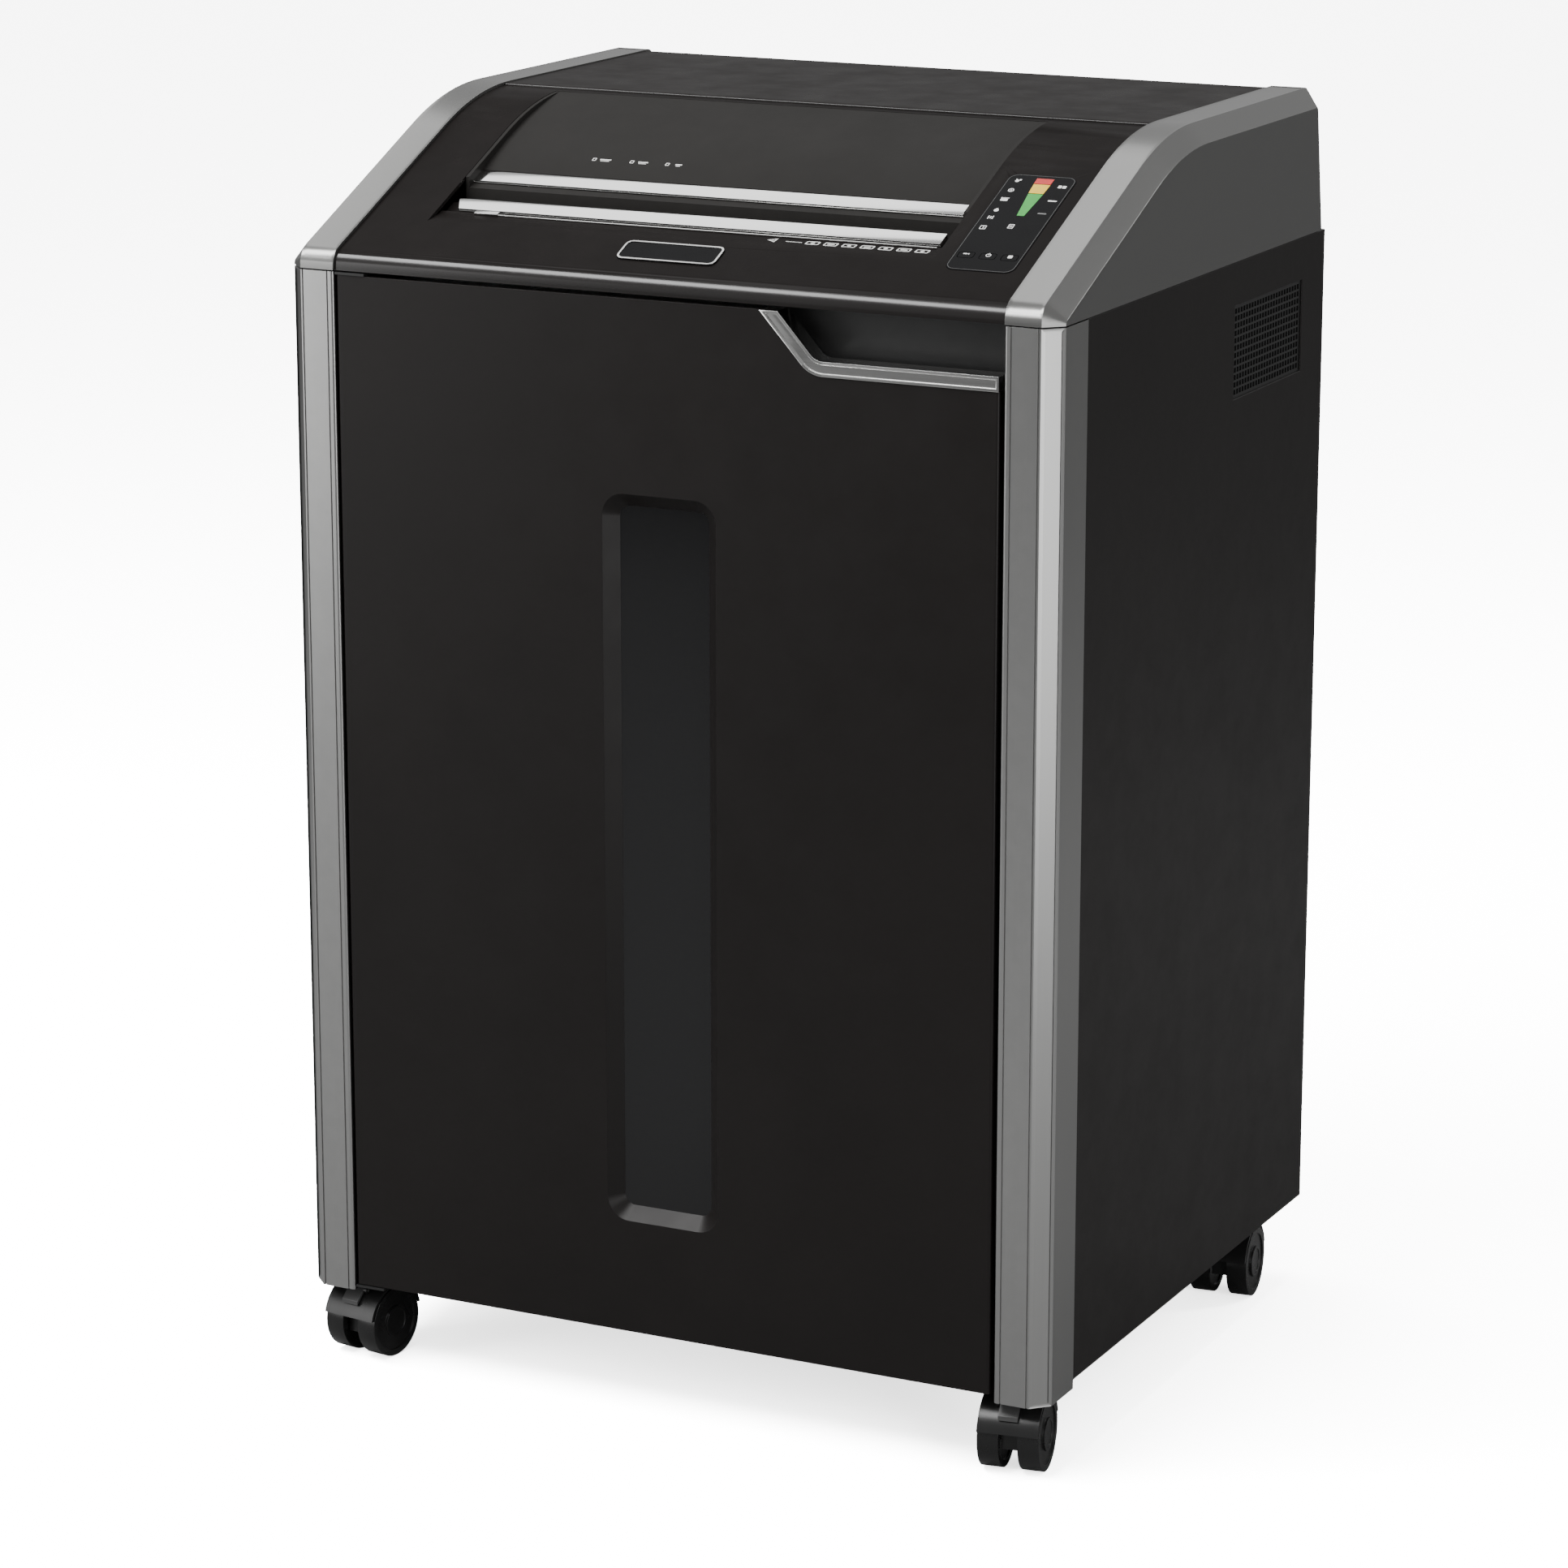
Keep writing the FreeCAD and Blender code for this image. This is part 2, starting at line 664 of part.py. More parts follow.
def ramp_section(x0, x1, above):
    """The ramp and its slot lip in section, or with above, all the space over its underside."""
    y_top = entry_rear_y - panel_gap
    y_bar = slot_rear_y + 24.0
    y_lip = slot_rear_y + 7.0
    y_end = slot_rear_y + panel_gap
    w = entry_wall
    seat = ramp_dip + bar_height - 1.5

    def at(y, below):
        return V(x0, y, cover_z(y, below))

    up = [V(x0, *p) for p in ramp_outline(0, y_top, y_bar)]
    down = [V(x0, *p) for p in ramp_outline(w + 1.0, y_top, y_bar + 2)]
    under = [at(y_bar + 2, seat + w), at(y_end + w, seat + w), at(y_end + w, slot_lip + ramp_dip),
             at(y_end, slot_lip + ramp_dip)]
    if above:
        sky = [V(x0, y_end, top + 30), V(x0, y_top, top + 30)]
        line = Part.makePolygon([down[2]] + under + sky + [down[0]])
        wire = Part.Wire([Part.Arc(*down).toShape()] + line.Edges)
        return Part.Face(wire).extrude(V(x1 - x0, 0, 0))
    over = [at(y_end, ramp_dip + 1.0), at(y_lip, ramp_dip + 1.0), at(y_lip, seat), at(y_bar, seat), up[2]]
    line = Part.makePolygon([down[2]] + under + over)
    closing = Part.makeLine(up[0], down[0])
    wire = Part.Wire([Part.Arc(*down).toShape()] + line.Edges + [Part.Arc(*reversed(up)).toShape(), closing])
    return Part.Face(wire).extrude(V(x1 - x0, 0, 0))


def make_entry():
    x0 = entry_left + panel_gap
    x1 = entry_right - panel_gap
    ramp = ramp_section(x0, x1, False)
    walls = []
    for a, b in ((x0, x0 + entry_wall), (x1 - entry_wall, x1)):
        wall = head_solid(cover_step + 0.3, a, b).common(ramp_section(a, b, True))
        walls.append(wall)
    keep("entry_ramp", fuse([ramp] + walls))

    def bar(xa, xb, y, below):
        solid = box(xa, xb, 0, bar_width, 0, bar_height)
        edges = [e for e in solid.Edges if e.BoundBox.XLength > 50 and e.BoundBox.ZMin > bar_height - 0.1]
        return on_slope(solid.makeFillet(bar_fillet, edges), y - below * math.sin(slope), below)

    ends = entry_wall + bar_end_gap
    upper_y = slot_rear_y + 8.6
    lower_y = slot_front_y - bar_width * math.cos(slope) - panel_gap
    cos = math.cos(slope)
    keep("throat_bar_upper", bar(x0 + entry_wall, x1 - ends, upper_y, (ramp_dip + bar_height - 1.5) * cos))
    keep("throat_bar_lower", bar(x0 + ends, x1 - ends, lower_y, (lip_dip + bar_height - 0.5) * cos))

    guide_top = cover_z(slot_front_y, slot_lip + ramp_dip) - 2.0
    guide_bottom = cutter_z + disc_radius + 2.0
    guides = []
    for y in (slot_rear_y, slot_front_y - guide_sheet):
        guides.append(box(throat_shift - plate_inner, throat_shift + plate_inner, y, y + guide_sheet,
                          guide_bottom, guide_top))
    keep("throat_guides", *guides)


def make_lids():
    keep("top_cover", cover_shell(lid_step, ridge_y + seam / 2, lid_end_y))
    keep("rear_cover", cover_shell(cover_step, lid_end_y + seam, half_d + 5))


def make_controls():
    holes = []
    kw, kh = key_size
    for x in key_centres():
        holes.append(flat_plate(x - kw / 2 - panel_gap, x + kw / 2 + panel_gap, key_row - kh / 2 - panel_gap,
                                key_row + kh / 2 + panel_gap, -5, 5, 2.3))
    plate = flat_plate(panel_x, panel_x + panel_width, 0, panel_length,
                       panel_proud - panel_sheet, panel_proud, panel_corner)
    keep("control_panel", on_slope(plate.cut(Part.makeCompound(holes)), panel_front_y))
    for name, x in zip(("key_reverse", "key_power", "key_forward"), key_centres()):
        cap = flat_plate(x - kw / 2, x + kw / 2, key_row - kh / 2, key_row + kh / 2, -3.2, key_proud, 2)
        cap = cap.makeFillet(0.4, [e for e in cap.Edges if e.BoundBox.ZMin > key_proud - 0.01])
        flange = flat_plate(x - kw / 2 - 1, x + kw / 2 + 1, key_row - kh / 2 - 1, key_row + kh / 2 + 1,
                            -3.2, -2.0, 2)
        stem = Part.makeCylinder(2.0, key_stem, V(x, key_row, -key_stem), V(0, 0, 1))
        keep(name, on_slope(fuse([cap, flange, stem]), panel_front_y))
    sheet = flat_plate(panel_x + 1, panel_x + panel_width - 1, 6, panel_length - 6,
                       -board_depth - board_sheet, -board_depth, 2)
    keep("control_board", on_slope(sheet, panel_front_y))


# ---- cutter block --------------------------------------------------------------------------------
def involute(angle):
    return math.tan(angle) - angle


def gear(x0, x1, centre, module, teeth, tooth_angle, bore):
    """A spur gear along X with one tooth pointing along tooth_angle, from +Y towards +Z."""
    pitch = module * teeth / 2
    base = pitch * math.cos(math.radians(pressure_angle))
    tip = pitch + module * addendum_share
    root = pitch - module * dedendum_share
    half = math.pi / (2 * teeth) - backlash / 2 / pitch + involute(math.radians(pressure_angle))
    flank = [(root, half - involute(0.0) + 0.0)]
    start = max(base, root) + 1e-3
    steps = 5
    for i in range(steps):
        r = start + (tip - start) * i / (steps - 1)
        flank.append((r, half - involute(math.acos(min(base / r, 1.0)))))
    if root >= base:
        flank[0] = (root, half - involute(math.acos(base / root)))
        flank.pop(1)
    points = []
    for k in range(teeth):
        middle = math.radians(tooth_angle) + 2 * math.pi * k / teeth
        sides = [(r, middle - a) for r, a in flank] + [(r, middle + a) for r, a in reversed(flank)]
        for r, a in sides:
            points.append(V(x0, centre[0] + r * math.cos(a), centre[1] + r * math.sin(a)))
    solid = Part.Face(Part.makePolygon(points + [points[0]])).extrude(V(x1 - x0, 0, 0))
    if bore:
        solid = solid.cut(cyl_x(bore, x0 - 1, x1 + 1, *centre))
    return solid


def polar(centre, distance, angle):
    return (centre[0] + distance * math.cos(math.radians(angle)),
            centre[1] + distance * math.sin(math.radians(angle)))


def cutter(centre, offset, count, end_left, end_right):
    """A shaft turned in one piece with its cutting discs."""
    x_mid = throat_shift
    core = stack_half + 0.5
    half_disc = disc_width / 2
    outline = [(end_left, 0), (end_left, journal_radius), (x_mid - core, journal_radius), (x_mid - core, root_radius)]
    first = x_mid - disc_pitch * (disc_count - 1) / 2 + offset
    for i in range(count):
        x = first + i * disc_pitch
        outline += [(x - half_disc, root_radius), (x - half_disc, disc_radius),
                    (x + half_disc, disc_radius), (x + half_disc, root_radius)]
    outline += [(x_mid + core, root_radius), (x_mid + core, journal_radius), (end_right, journal_radius),
                (end_right, 0)]
    points = [V(x, centre[0], centre[1] + r) for x, r in outline]
    face = Part.Face(Part.makePolygon(points + [points[0]]))
    return face.revolve(V(0, centre[0], centre[1]), V(1, 0, 0), 360)


def make_cutter_block():
    x_left = throat_shift - plate_inner
    x_right = throat_shift + plate_inner
    plane_a = x_right + plate_sheet + gear_gap
    plane_b = plane_a + timing_face + gear_gap
    plane_c = plane_b + timing_face + gear_gap + 1.0
    gears_end = plane_c + motor_face
    timing_module = shaft_distance / timing_teeth
    pinion_distance = drive_module * (drive_teeth + drive_pinion_teeth) / 2
    motor_distance = motor_module * (motor_gear_teeth + motor_pinion_teeth) / 2
    middle_shaft = polar(rear_shaft, pinion_distance, drive_direction)
    motor_shaft = polar(middle_shaft, motor_distance, motor_direction)

    front_edge = guard_y + guard_sheet + 7.5
    rear_edge = motor_shaft[0] + motor_radius + 6
    shoulder = cover_z(front_edge, 16.0)
    left_outline = [(front_edge, deck_top), (front_edge, shoulder), (front_shaft[0], shoulder + 17),
                    (rear_shaft[0] + 36, shoulder + 17), (rear_shaft[0] + 36, deck_top)]
    right_outline = [(front_edge, deck_top), (front_edge, shoulder), (front_shaft[0], shoulder + 17),
                     (middle_shaft[0], shoulder + 37), (rear_edge, shoulder + 17), (rear_edge, deck_top)]
    left = prism_x(left_outline, x_left - plate_sheet, x_left)
    right = prism_x(right_outline, x_right, x_right + plate_sheet)
    ties = [(front_shaft[0] - 24, cutter_z + 45), (front_shaft[0] - 24, cutter_z - 45),
            (rear_shaft[0] + 24, cutter_z + 45), (rear_shaft[0] + 24, cutter_z - 45)]
    bores = [cyl_x(bush_radius, -width, width, *c) for c in (front_shaft, rear_shaft)]
    bores += [cyl_x(tie_radius, -width, width, *c) for c in ties]
    notch_y0 = slot_front_y - entry_wall - 1.3
    notch = box(-width, width, notch_y0, slot_rear_y + entry_wall + 1.3,
                cover_z(notch_y0, slot_lip + ramp_dip) - 1, top)
    left = left.cut(Part.makeCompound(bores)).cut(notch)
    right = right.cut(Part.makeCompound(bores)).cut(notch)
    right = right.cut(cyl_x(axle_radius, x_right - 1, x_right + plate_sheet + 1, *middle_shaft))
    right = right.cut(cyl_x(motor_shaft_radius + 1, x_right - 1, x_right + plate_sheet + 1, *motor_shaft))
    keep("frame_plate_left", left)
    keep("frame_plate_right", right)
    keep("tie_rods", *[cyl_x(tie_radius, x_left - plate_sheet - 2, x_right + plate_sheet + 2, *c) for c in ties])

    bushes = []
    for centre in (front_shaft, rear_shaft):
        for face, direction in ((x_left, -1), (x_right, 1)):
            sleeve = cyl_x(bush_radius, min(face, face + direction * plate_sheet),
                           max(face, face + direction * plate_sheet), *centre)
            inner = face - direction * bush_flange_thickness
            flange = cyl_x(bush_flange, min(face, inner), max(face, inner), *centre)
            bore = cyl_x(journal_radius + shaft_clearance, x_left - 50, x_right + 50, *centre)
            bushes.append(fuse([sleeve, flange]).cut(bore))
    keep("cutter_bushes", *bushes)

    tail = x_left - plate_sheet - 4
    keep("cutter_front", cutter(front_shaft, 0.0, disc_count, tail, plane_a + timing_face + 1))
    keep("cutter_rear", cutter(rear_shaft, disc_pitch / 2, disc_count - 1, tail, plane_b + timing_face + 1))
    half_tooth = 180.0 / timing_teeth
    keep("timing_gear_front", gear(plane_a, plane_a + timing_face, front_shaft, timing_module,
                                   timing_teeth, 0.0, journal_radius))
    keep("timing_gear_rear", gear(plane_a, plane_a + timing_face, rear_shaft, timing_module,
                                  timing_teeth, 180.0 + half_tooth, journal_radius))
    keep("drive_gear", gear(plane_b, plane_b + timing_face, rear_shaft, drive_module,
                            drive_teeth, drive_direction, journal_radius))

    small = gear(plane_b, plane_b + timing_face, middle_shaft, drive_module, drive_pinion_teeth,
                 drive_direction + 180.0 + 180.0 / drive_pinion_teeth, 0)
    large = gear(plane_c, gears_end, middle_shaft, motor_module, motor_gear_teeth, motor_direction, 0)
    hub_radius = drive_module * (drive_pinion_teeth / 2 - dedendum_share) - 0.5
    hub = cyl_x(hub_radius, plane_b - 0.5, gears_end + 0.5, *middle_shaft)
    bore = cyl_x(axle_radius + shaft_clearance, plane_b - 5, gears_end + 5, *middle_shaft)
    keep("intermediate_gear", fuse([small, large, hub]).cut(bore))
    keep("intermediate_axle", cyl_x(axle_radius, x_right, gears_end + 2, *middle_shaft))

    motor_x0 = x_right - gear_gap - motor_length
    body = cyl_x(motor_radius, motor_x0, x_right - gear_gap, *motor_shaft)
    foot = box(motor_x0 + 12, x_right - gear_gap - 12, motor_shaft[0] - motor_foot_width / 2,
               motor_shaft[0] + motor_foot_width / 2, deck_top, motor_shaft[1])
    ribs = [cyl_x(motor_radius + 2.5, motor_x0 + 30 + 12 * i, motor_x0 + 34 + 12 * i, *motor_shaft) for i in range(11)]
    bore = cyl_x(motor_shaft_radius + shaft_clearance, motor_x0 + 10, x_right, *motor_shaft)
    keep("motor_body", fuse([body, foot] + ribs).cut(bore))
    pinion = gear(plane_c, gears_end, motor_shaft, motor_module, motor_pinion_teeth,
                  motor_direction + 180.0 + 180.0 / motor_pinion_teeth, 0)
    shaft = cyl_x(motor_shaft_radius, motor_x0 + 12, gears_end + 1, *motor_shaft)
    keep("motor_rotor", fuse([shaft, pinion]))

    combs = []
    for centre, side, count, offset in ((front_shaft, -1, disc_count, 0.0),
                                        (rear_shaft, 1, disc_count - 1, disc_pitch / 2)):
        near = centre[0] + side * (root_radius - 1)
        far = near + side * comb_depth
        bar = box(x_left + 2, x_right - 2, min(near, far), max(near, far), centre[1] - 20, centre[1] - 20 + comb_height)
        cuts = [cyl_x(root_radius + comb_clearance, x_left, x_right, *centre)]
        first = throat_shift - disc_pitch * (disc_count - 1) / 2 + offset
        half = disc_width / 2 + comb_clearance
        for i in range(count):
            x = first + i * disc_pitch
            cuts.append(cyl_x(disc_radius + comb_clearance, x - half, x + half, *centre))
        combs.append(bar.cut(Part.makeCompound(cuts)))
    keep("stripper_combs", *combs)


# ---- power inlet ---------------------------------------------------------------------------------
def make_power():
    z = cabinet_bottom + inlet_height
    y = half_d - rear_inset
    fx, fz = inlet_size
    bx, bz = inlet_body
    flange = prism_y(rectangle(inlet_x - fx / 2, inlet_x + fx / 2, z - fz / 2, z + fz / 2),
                     y, y + inlet_flange, [4] * 4)
    body = box(inlet_x - bx / 2, inlet_x + bx / 2, y - inlet_length, y, z - bz / 2, z + bz / 2)
    socket_x = inlet_x + 11.5
    sx, sz = socket_size
    face = y + inlet_flange
    cavity = prism_y(rectangle(socket_x - sx / 2, socket_x + sx / 2, z - sz / 2, z + sz / 2),
                     face - socket_depth, face + 1, [1, 1, 5, 5])
    blades = [box(socket_x + dx - 1, socket_x + dx + 1, face - socket_depth - 1, face - 4, z + dz - 2, z + dz + 2)
              for dx, dz in ((-7, -2), (0, 2.5), (7, -2))]
    rx, rz = rocker_size
    rocker_x = inlet_x - 16.5
    well = box(rocker_x - rx / 2 - 0.4, rocker_x + rx / 2 + 0.4, y - 14, face + 1, z - rz / 2 - 1.2, z + rz / 2 + 1.2)
    hinge_y = y - 4.9
    bearing = cyl_x(rocker_pin + shaft_clearance, rocker_x - rx / 2 - 2, rocker_x + rx / 2 + 2, hinge_y, z)
    module = fuse([flange, body]).cut(cavity).cut(well).cut(bearing).fuse(Part.makeCompound(blades))
    keep("power_inlet", module)
    rocker = prism_x([(hinge_y - 7, z - 5), (hinge_y + 4.6, z - rz / 2), (hinge_y + 2.6, z),
                      (hinge_y + 4.6, z + rz / 2), (hinge_y - 7, z + 5)],
                     rocker_x - rx / 2, rocker_x + rx / 2)
    rocker.rotate(V(rocker_x, hinge_y, z), V(1, 0, 0), -rocker_swing)
    pin = cyl_x(rocker_pin, rocker_x - rx / 2 - 1.6, rocker_x + rx / 2 + 1.6, hinge_y, z)
    keep("power_rocker", rocker.fuse(pin))


# ---- casters -------------------------------------------------------------------------------------
def caster_pieces():
    """Hood, wheels, stem and brake lever of one caster, drawn at the origin and trailing towards -Y."""
    y = -wheel_trail
    z = wheel_radius
    tyres = wheel_radius + 1.2
    half_web = web_width / 2
    dome = cyl_x(hood_radius, -hood_width / 2, hood_width / 2, y, z)
    dome = dome.cut(cyl_x(tyres, -hood_width, hood_width, y, z))
    dome = dome.common(box(-50, 50, -100, 100, z + 8, z + 50))
    neck_top = caster_height - hood_top_gap
    neck = cyl_z(neck_radius, z + 12, neck_top, 0, 0).cut(cyl_x(tyres, -hood_width, hood_width, y, z))
    web = cyl_x(tyres + 1, -half_web, half_web, y, z).common(box(-50, 50, y - 22, 13, z - 8, z + 50))
    ear_y, ear_z = polar((y, z), hood_radius + 2.2, 123.0)
    ears = [cyl_x(3.0, a, b, ear_y, ear_z) for a, b in ((8.4, 11.6), (-11.6, -8.4))]
    hood = fuse([dome, neck, web] + ears)
    hood = hood.cut(cyl_x(wheel_axle_radius + shaft_clearance, -50, 50, y, z))
    stem_bottom = z + 14
    hood = hood.cut(cyl_z(stem_radius + shaft_clearance, stem_bottom - 1, neck_top + 5, 0, 0))
    hood = hood.cut(cyl_x(1.3, -20, 20, ear_y, ear_z))

    wheels = []
    inner = web_width / 2 + running_gap
    for a, b in ((inner, inner + wheel_width), (-inner - wheel_width, -inner)):
        wheel = cyl_x(wheel_radius, a, b, y, z)
        rims = [e for e in wheel.Edges if e.Curve.TypeId == "Part::GeomCircle"]
        wheel = wheel.makeFillet(wheel_fillet, rims)
        wheels.append(wheel.cut(cyl_x(wheel_axle_radius, -50, 50, y, z)))
    wheels.append(cyl_x(wheel_axle_radius, -inner - wheel_width + 2, inner + wheel_width - 2, y, z))

    stem = fuse([cyl_z(stem_radius, stem_bottom, caster_height + 14, 0, 0),
                 cyl_z(stem_flange, caster_height - stem_flange_thickness, caster_height, 0, 0)])

    tip = -50.0
    lever = prism_x([(ear_y - 1.2, ear_z - 1.6), (tip, z + 18.8), (tip, z + 22.5), (ear_y - 1.0, ear_z + 2.0),
                     (ear_y + 0.8, ear_z + 1.6)], -8.0, 8.0)
    barrel = cyl_x(2.0, -8.0, 8.0, ear_y, ear_z)
    pin = cyl_x(1.25, -11.6, 11.6, ear_y, ear_z)
    return hood, wheels, stem, fuse([lever, barrel, pin])


def make_casters():
    stems = []
    for place, turn in caster_turns.items():
        fore, side = place.split("_")
        x = caster_x if side == "right" else -caster_x
        y = caster_y if fore == "rear" else -caster_y
        hood, wheels, stem, lever = caster_pieces()

        def placed(shape):
            shape.rotate(V(0, 0, 0), V(0, 0, 1), turn)
            shape.translate(V(x, y, 0))
            return shape

        keep("caster_hood_" + place, placed(hood))
        keep("caster_wheels_" + place, *[placed(w) for w in wheels])
        stems.append(placed(stem))
        if fore == "front":
            keep("brake_lever_" + side, placed(lever))
    keep("caster_stems", *stems)


def main():
    make_cabinet()
    make_bin()
    make_door()
    make_cheeks()
    make_front_cover()
    make_entry()
    make_lids()
    make_controls()
    make_cutter_block()
    make_power()
    make_casters()
    os.makedirs("parts", exist_ok=True)
    for name, shape in sorted(PARTS.items()):
        solids = shape.Solids
        print(f"{name:24s} solids {len(solids):3d}  valid {shape.isValid()}  volume {shape.Volume / 1000:10.2f} cm3")
        shape.exportStep(os.path.join("parts", name + ".step"))
    print(len(PARTS), "nodes")


main()
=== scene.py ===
"""Looks of the office paper shredder: finishes, rolled edges, printed marks, wheels and studio."""

import math

import bpy
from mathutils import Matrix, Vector
from mathutils.bvhtree import BVHTree
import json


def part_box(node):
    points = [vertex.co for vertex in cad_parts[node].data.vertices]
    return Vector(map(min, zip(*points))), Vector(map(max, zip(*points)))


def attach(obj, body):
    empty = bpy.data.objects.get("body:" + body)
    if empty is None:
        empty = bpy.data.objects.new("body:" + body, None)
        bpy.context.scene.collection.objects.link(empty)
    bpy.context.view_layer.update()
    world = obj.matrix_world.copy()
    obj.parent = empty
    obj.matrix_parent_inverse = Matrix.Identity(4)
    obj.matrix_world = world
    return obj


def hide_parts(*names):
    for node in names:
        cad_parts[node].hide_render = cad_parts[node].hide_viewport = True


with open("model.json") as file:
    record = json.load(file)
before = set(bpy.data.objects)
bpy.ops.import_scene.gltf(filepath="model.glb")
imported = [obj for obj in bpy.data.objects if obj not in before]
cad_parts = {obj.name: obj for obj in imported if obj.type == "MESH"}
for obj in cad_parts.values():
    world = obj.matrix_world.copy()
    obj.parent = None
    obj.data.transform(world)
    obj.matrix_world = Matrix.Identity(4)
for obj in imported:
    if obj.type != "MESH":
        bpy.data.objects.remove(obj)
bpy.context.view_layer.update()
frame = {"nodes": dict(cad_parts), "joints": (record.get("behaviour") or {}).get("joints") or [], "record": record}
MM = 0.001

press = next(j for j in frame["joints"] if j["name"] == "key_power_press")
PRESS_AXIS = Vector(press["axis"]).normalized()
FACE_UP = -PRESS_AXIS
SLOPE = math.atan2(PRESS_AXIS.y, -PRESS_AXIS.z)


# ---- studio ---------------------------------------------------------------------------------------
SENSOR_WIDTH = 36.0
LENS = 121.1
CAMERA_PLACE = (1.8674, -3.8386, 1.5785)
CAMERA_TILT = math.radians(75.42)
CAMERA_YAW = math.radians(26.32)

ROOM_LIGHT = 0.42
BACKDROP_LIGHT = 14.0
FLOOR_SIZE = 40
FLOOR_BOUNCE = 0.30
FLOOR_SEEN = 14.0
FLOOR_GLOW = 1.6

# name: centre, target, width, height, power
SOFTBOXES = {
    "front_right_softbox": ((2.3, -1.55, 0.75), (0.33, -0.25, 0.55), 1.0, 1.9, 25),
    "left_softbox": ((-2.4, -2.6, 1.1), (0, -0.28, 0.5), 1.3, 2.2, 30),
    "nose_strip": ((-1.1, -1.55, 2.85), (0, -0.27, 0.93), 3.2, 0.7, 105),
    "rear_top_softbox": ((-1.25, 1.1, 3.4), (0, -0.1, 1.0), 2.2, 1.6, 18),
    "lip_strip": ((0.3, 0.75, 3.0), (0.3, -0.1, 0.95), 0.35, 1.6, 13),
    "edge_strip": ((2.0, 1.65, 1.8), (0.33, 0, 0.95), 0.3, 1.2, 9),
}


def grey(value):
    return (value, value, value, 1)


def place_camera():
    data = bpy.data.cameras.new("camera")
    data.sensor_width = SENSOR_WIDTH
    data.lens = LENS
    camera = bpy.data.objects.new("camera", data)
    camera.location = CAMERA_PLACE
    camera.rotation_euler = (CAMERA_TILT, 0, CAMERA_YAW)
    bpy.context.scene.collection.objects.link(camera)
    bpy.context.scene.camera = camera


def softbox(name, centre, target, width, height, power):
    data = bpy.data.lights.new(name, "AREA")
    data.shape = "RECTANGLE"
    data.size = width
    data.size_y = height
    data.energy = power
    light = bpy.data.objects.new(name, data)
    light.location = centre
    light.rotation_euler = (Vector(target) - Vector(centre)).to_track_quat("-Z", "Y").to_euler()
    bpy.context.scene.collection.objects.link(light)


def camera_switch(tree, unseen, seen):
    """Join two shaders: the second for what the camera sees directly, the first for all other light."""
    path = tree.nodes.new("ShaderNodeLightPath")
    mix = tree.nodes.new("ShaderNodeMixShader")
    tree.links.new(path.outputs["Is Camera Ray"], mix.inputs["Fac"])
    tree.links.new(unseen, mix.inputs[1])
    tree.links.new(seen, mix.inputs[2])
    return mix.outputs[0]


def build_world():
    world = bpy.data.worlds.new("studio")
    bpy.context.scene.world = world
    world.use_nodes = True
    tree = world.node_tree
    tree.nodes.clear()
    out = tree.nodes.new("ShaderNodeOutputWorld")
    shades = []
    for strength in (ROOM_LIGHT, BACKDROP_LIGHT):
        shade = tree.nodes.new("ShaderNodeBackground")
        shade.inputs["Color"].default_value = grey(1)
        shade.inputs["Strength"].default_value = strength
        shades.append(shade.outputs[0])
    tree.links.new(camera_switch(tree, *shades), out.inputs["Surface"])


def build_floor():
    bpy.ops.object.select_all(action="DESELECT")
    bpy.ops.mesh.primitive_plane_add(size=FLOOR_SIZE, location=(0, 0, 0))
    floor = bpy.context.active_object
    floor.name = "floor"
    paint = bpy.data.materials.new("studio_floor")
    paint.use_nodes = True
    tree = paint.node_tree
    tree.nodes.clear()
    out = tree.nodes.new("ShaderNodeOutputMaterial")
    unseen = tree.nodes.new("ShaderNodeBsdfDiffuse")
    unseen.inputs["Color"].default_value = grey(FLOOR_BOUNCE)
    matt = tree.nodes.new("ShaderNodeBsdfDiffuse")
    matt.inputs["Color"].default_value = grey(FLOOR_SEEN)
    glow = tree.nodes.new("ShaderNodeEmission")
    glow.inputs["Strength"].default_value = FLOOR_GLOW
    both = tree.nodes.new("ShaderNodeAddShader")
    tree.links.new(matt.outputs[0], both.inputs[0])
    tree.links.new(glow.outputs[0], both.inputs[1])
    tree.links.new(camera_switch(tree, unseen.outputs[0], both.outputs[0]), out.inputs["Surface"])
    floor.data.materials.append(paint)


def build_studio():
    for name, settings in SOFTBOXES.items():
        softbox(name, *settings)
    build_world()
    build_floor()


# ---- shared effects, as node groups ---------------------------------------------------------------
def effect(name, inputs, outputs):
    """An empty shader node group with named sockets, and its input and output nodes."""
    tree = bpy.data.node_groups.new(name, "ShaderNodeTree")
    kinds = {"float": "NodeSocketFloat", "vector": "NodeSocketVector", "colour": "NodeSocketColor"}
    for label, kind, value in inputs:
        socket = tree.interface.new_socket(label, in_out="INPUT", socket_type=kinds[kind])
        socket.default_value = value
    for label, kind in outputs:
        tree.interface.new_socket(label, in_out="OUTPUT", socket_type=kinds[kind])
    return tree, tree.nodes.new("NodeGroupInput"), tree.nodes.new("NodeGroupOutput")


def add(tree, kind, values=None, **settings):
    node = tree.nodes.new("ShaderNode" + kind)
    for key, value in settings.items():
        setattr(node, key, value)
    for key, value in (values or {}).items():
        node.inputs[key].default_value = value
    return node


def spread(tree, source, low, high):
    """Stretch a 0.35 to 0.65 noise value to run from low to high."""
    node = add(tree, "MapRange", {"From Min": 0.35, "From Max": 0.65, "To Min": low, "To Max": high})
    tree.links.new(source, node.inputs["Value"])
    return node.outputs["Result"]


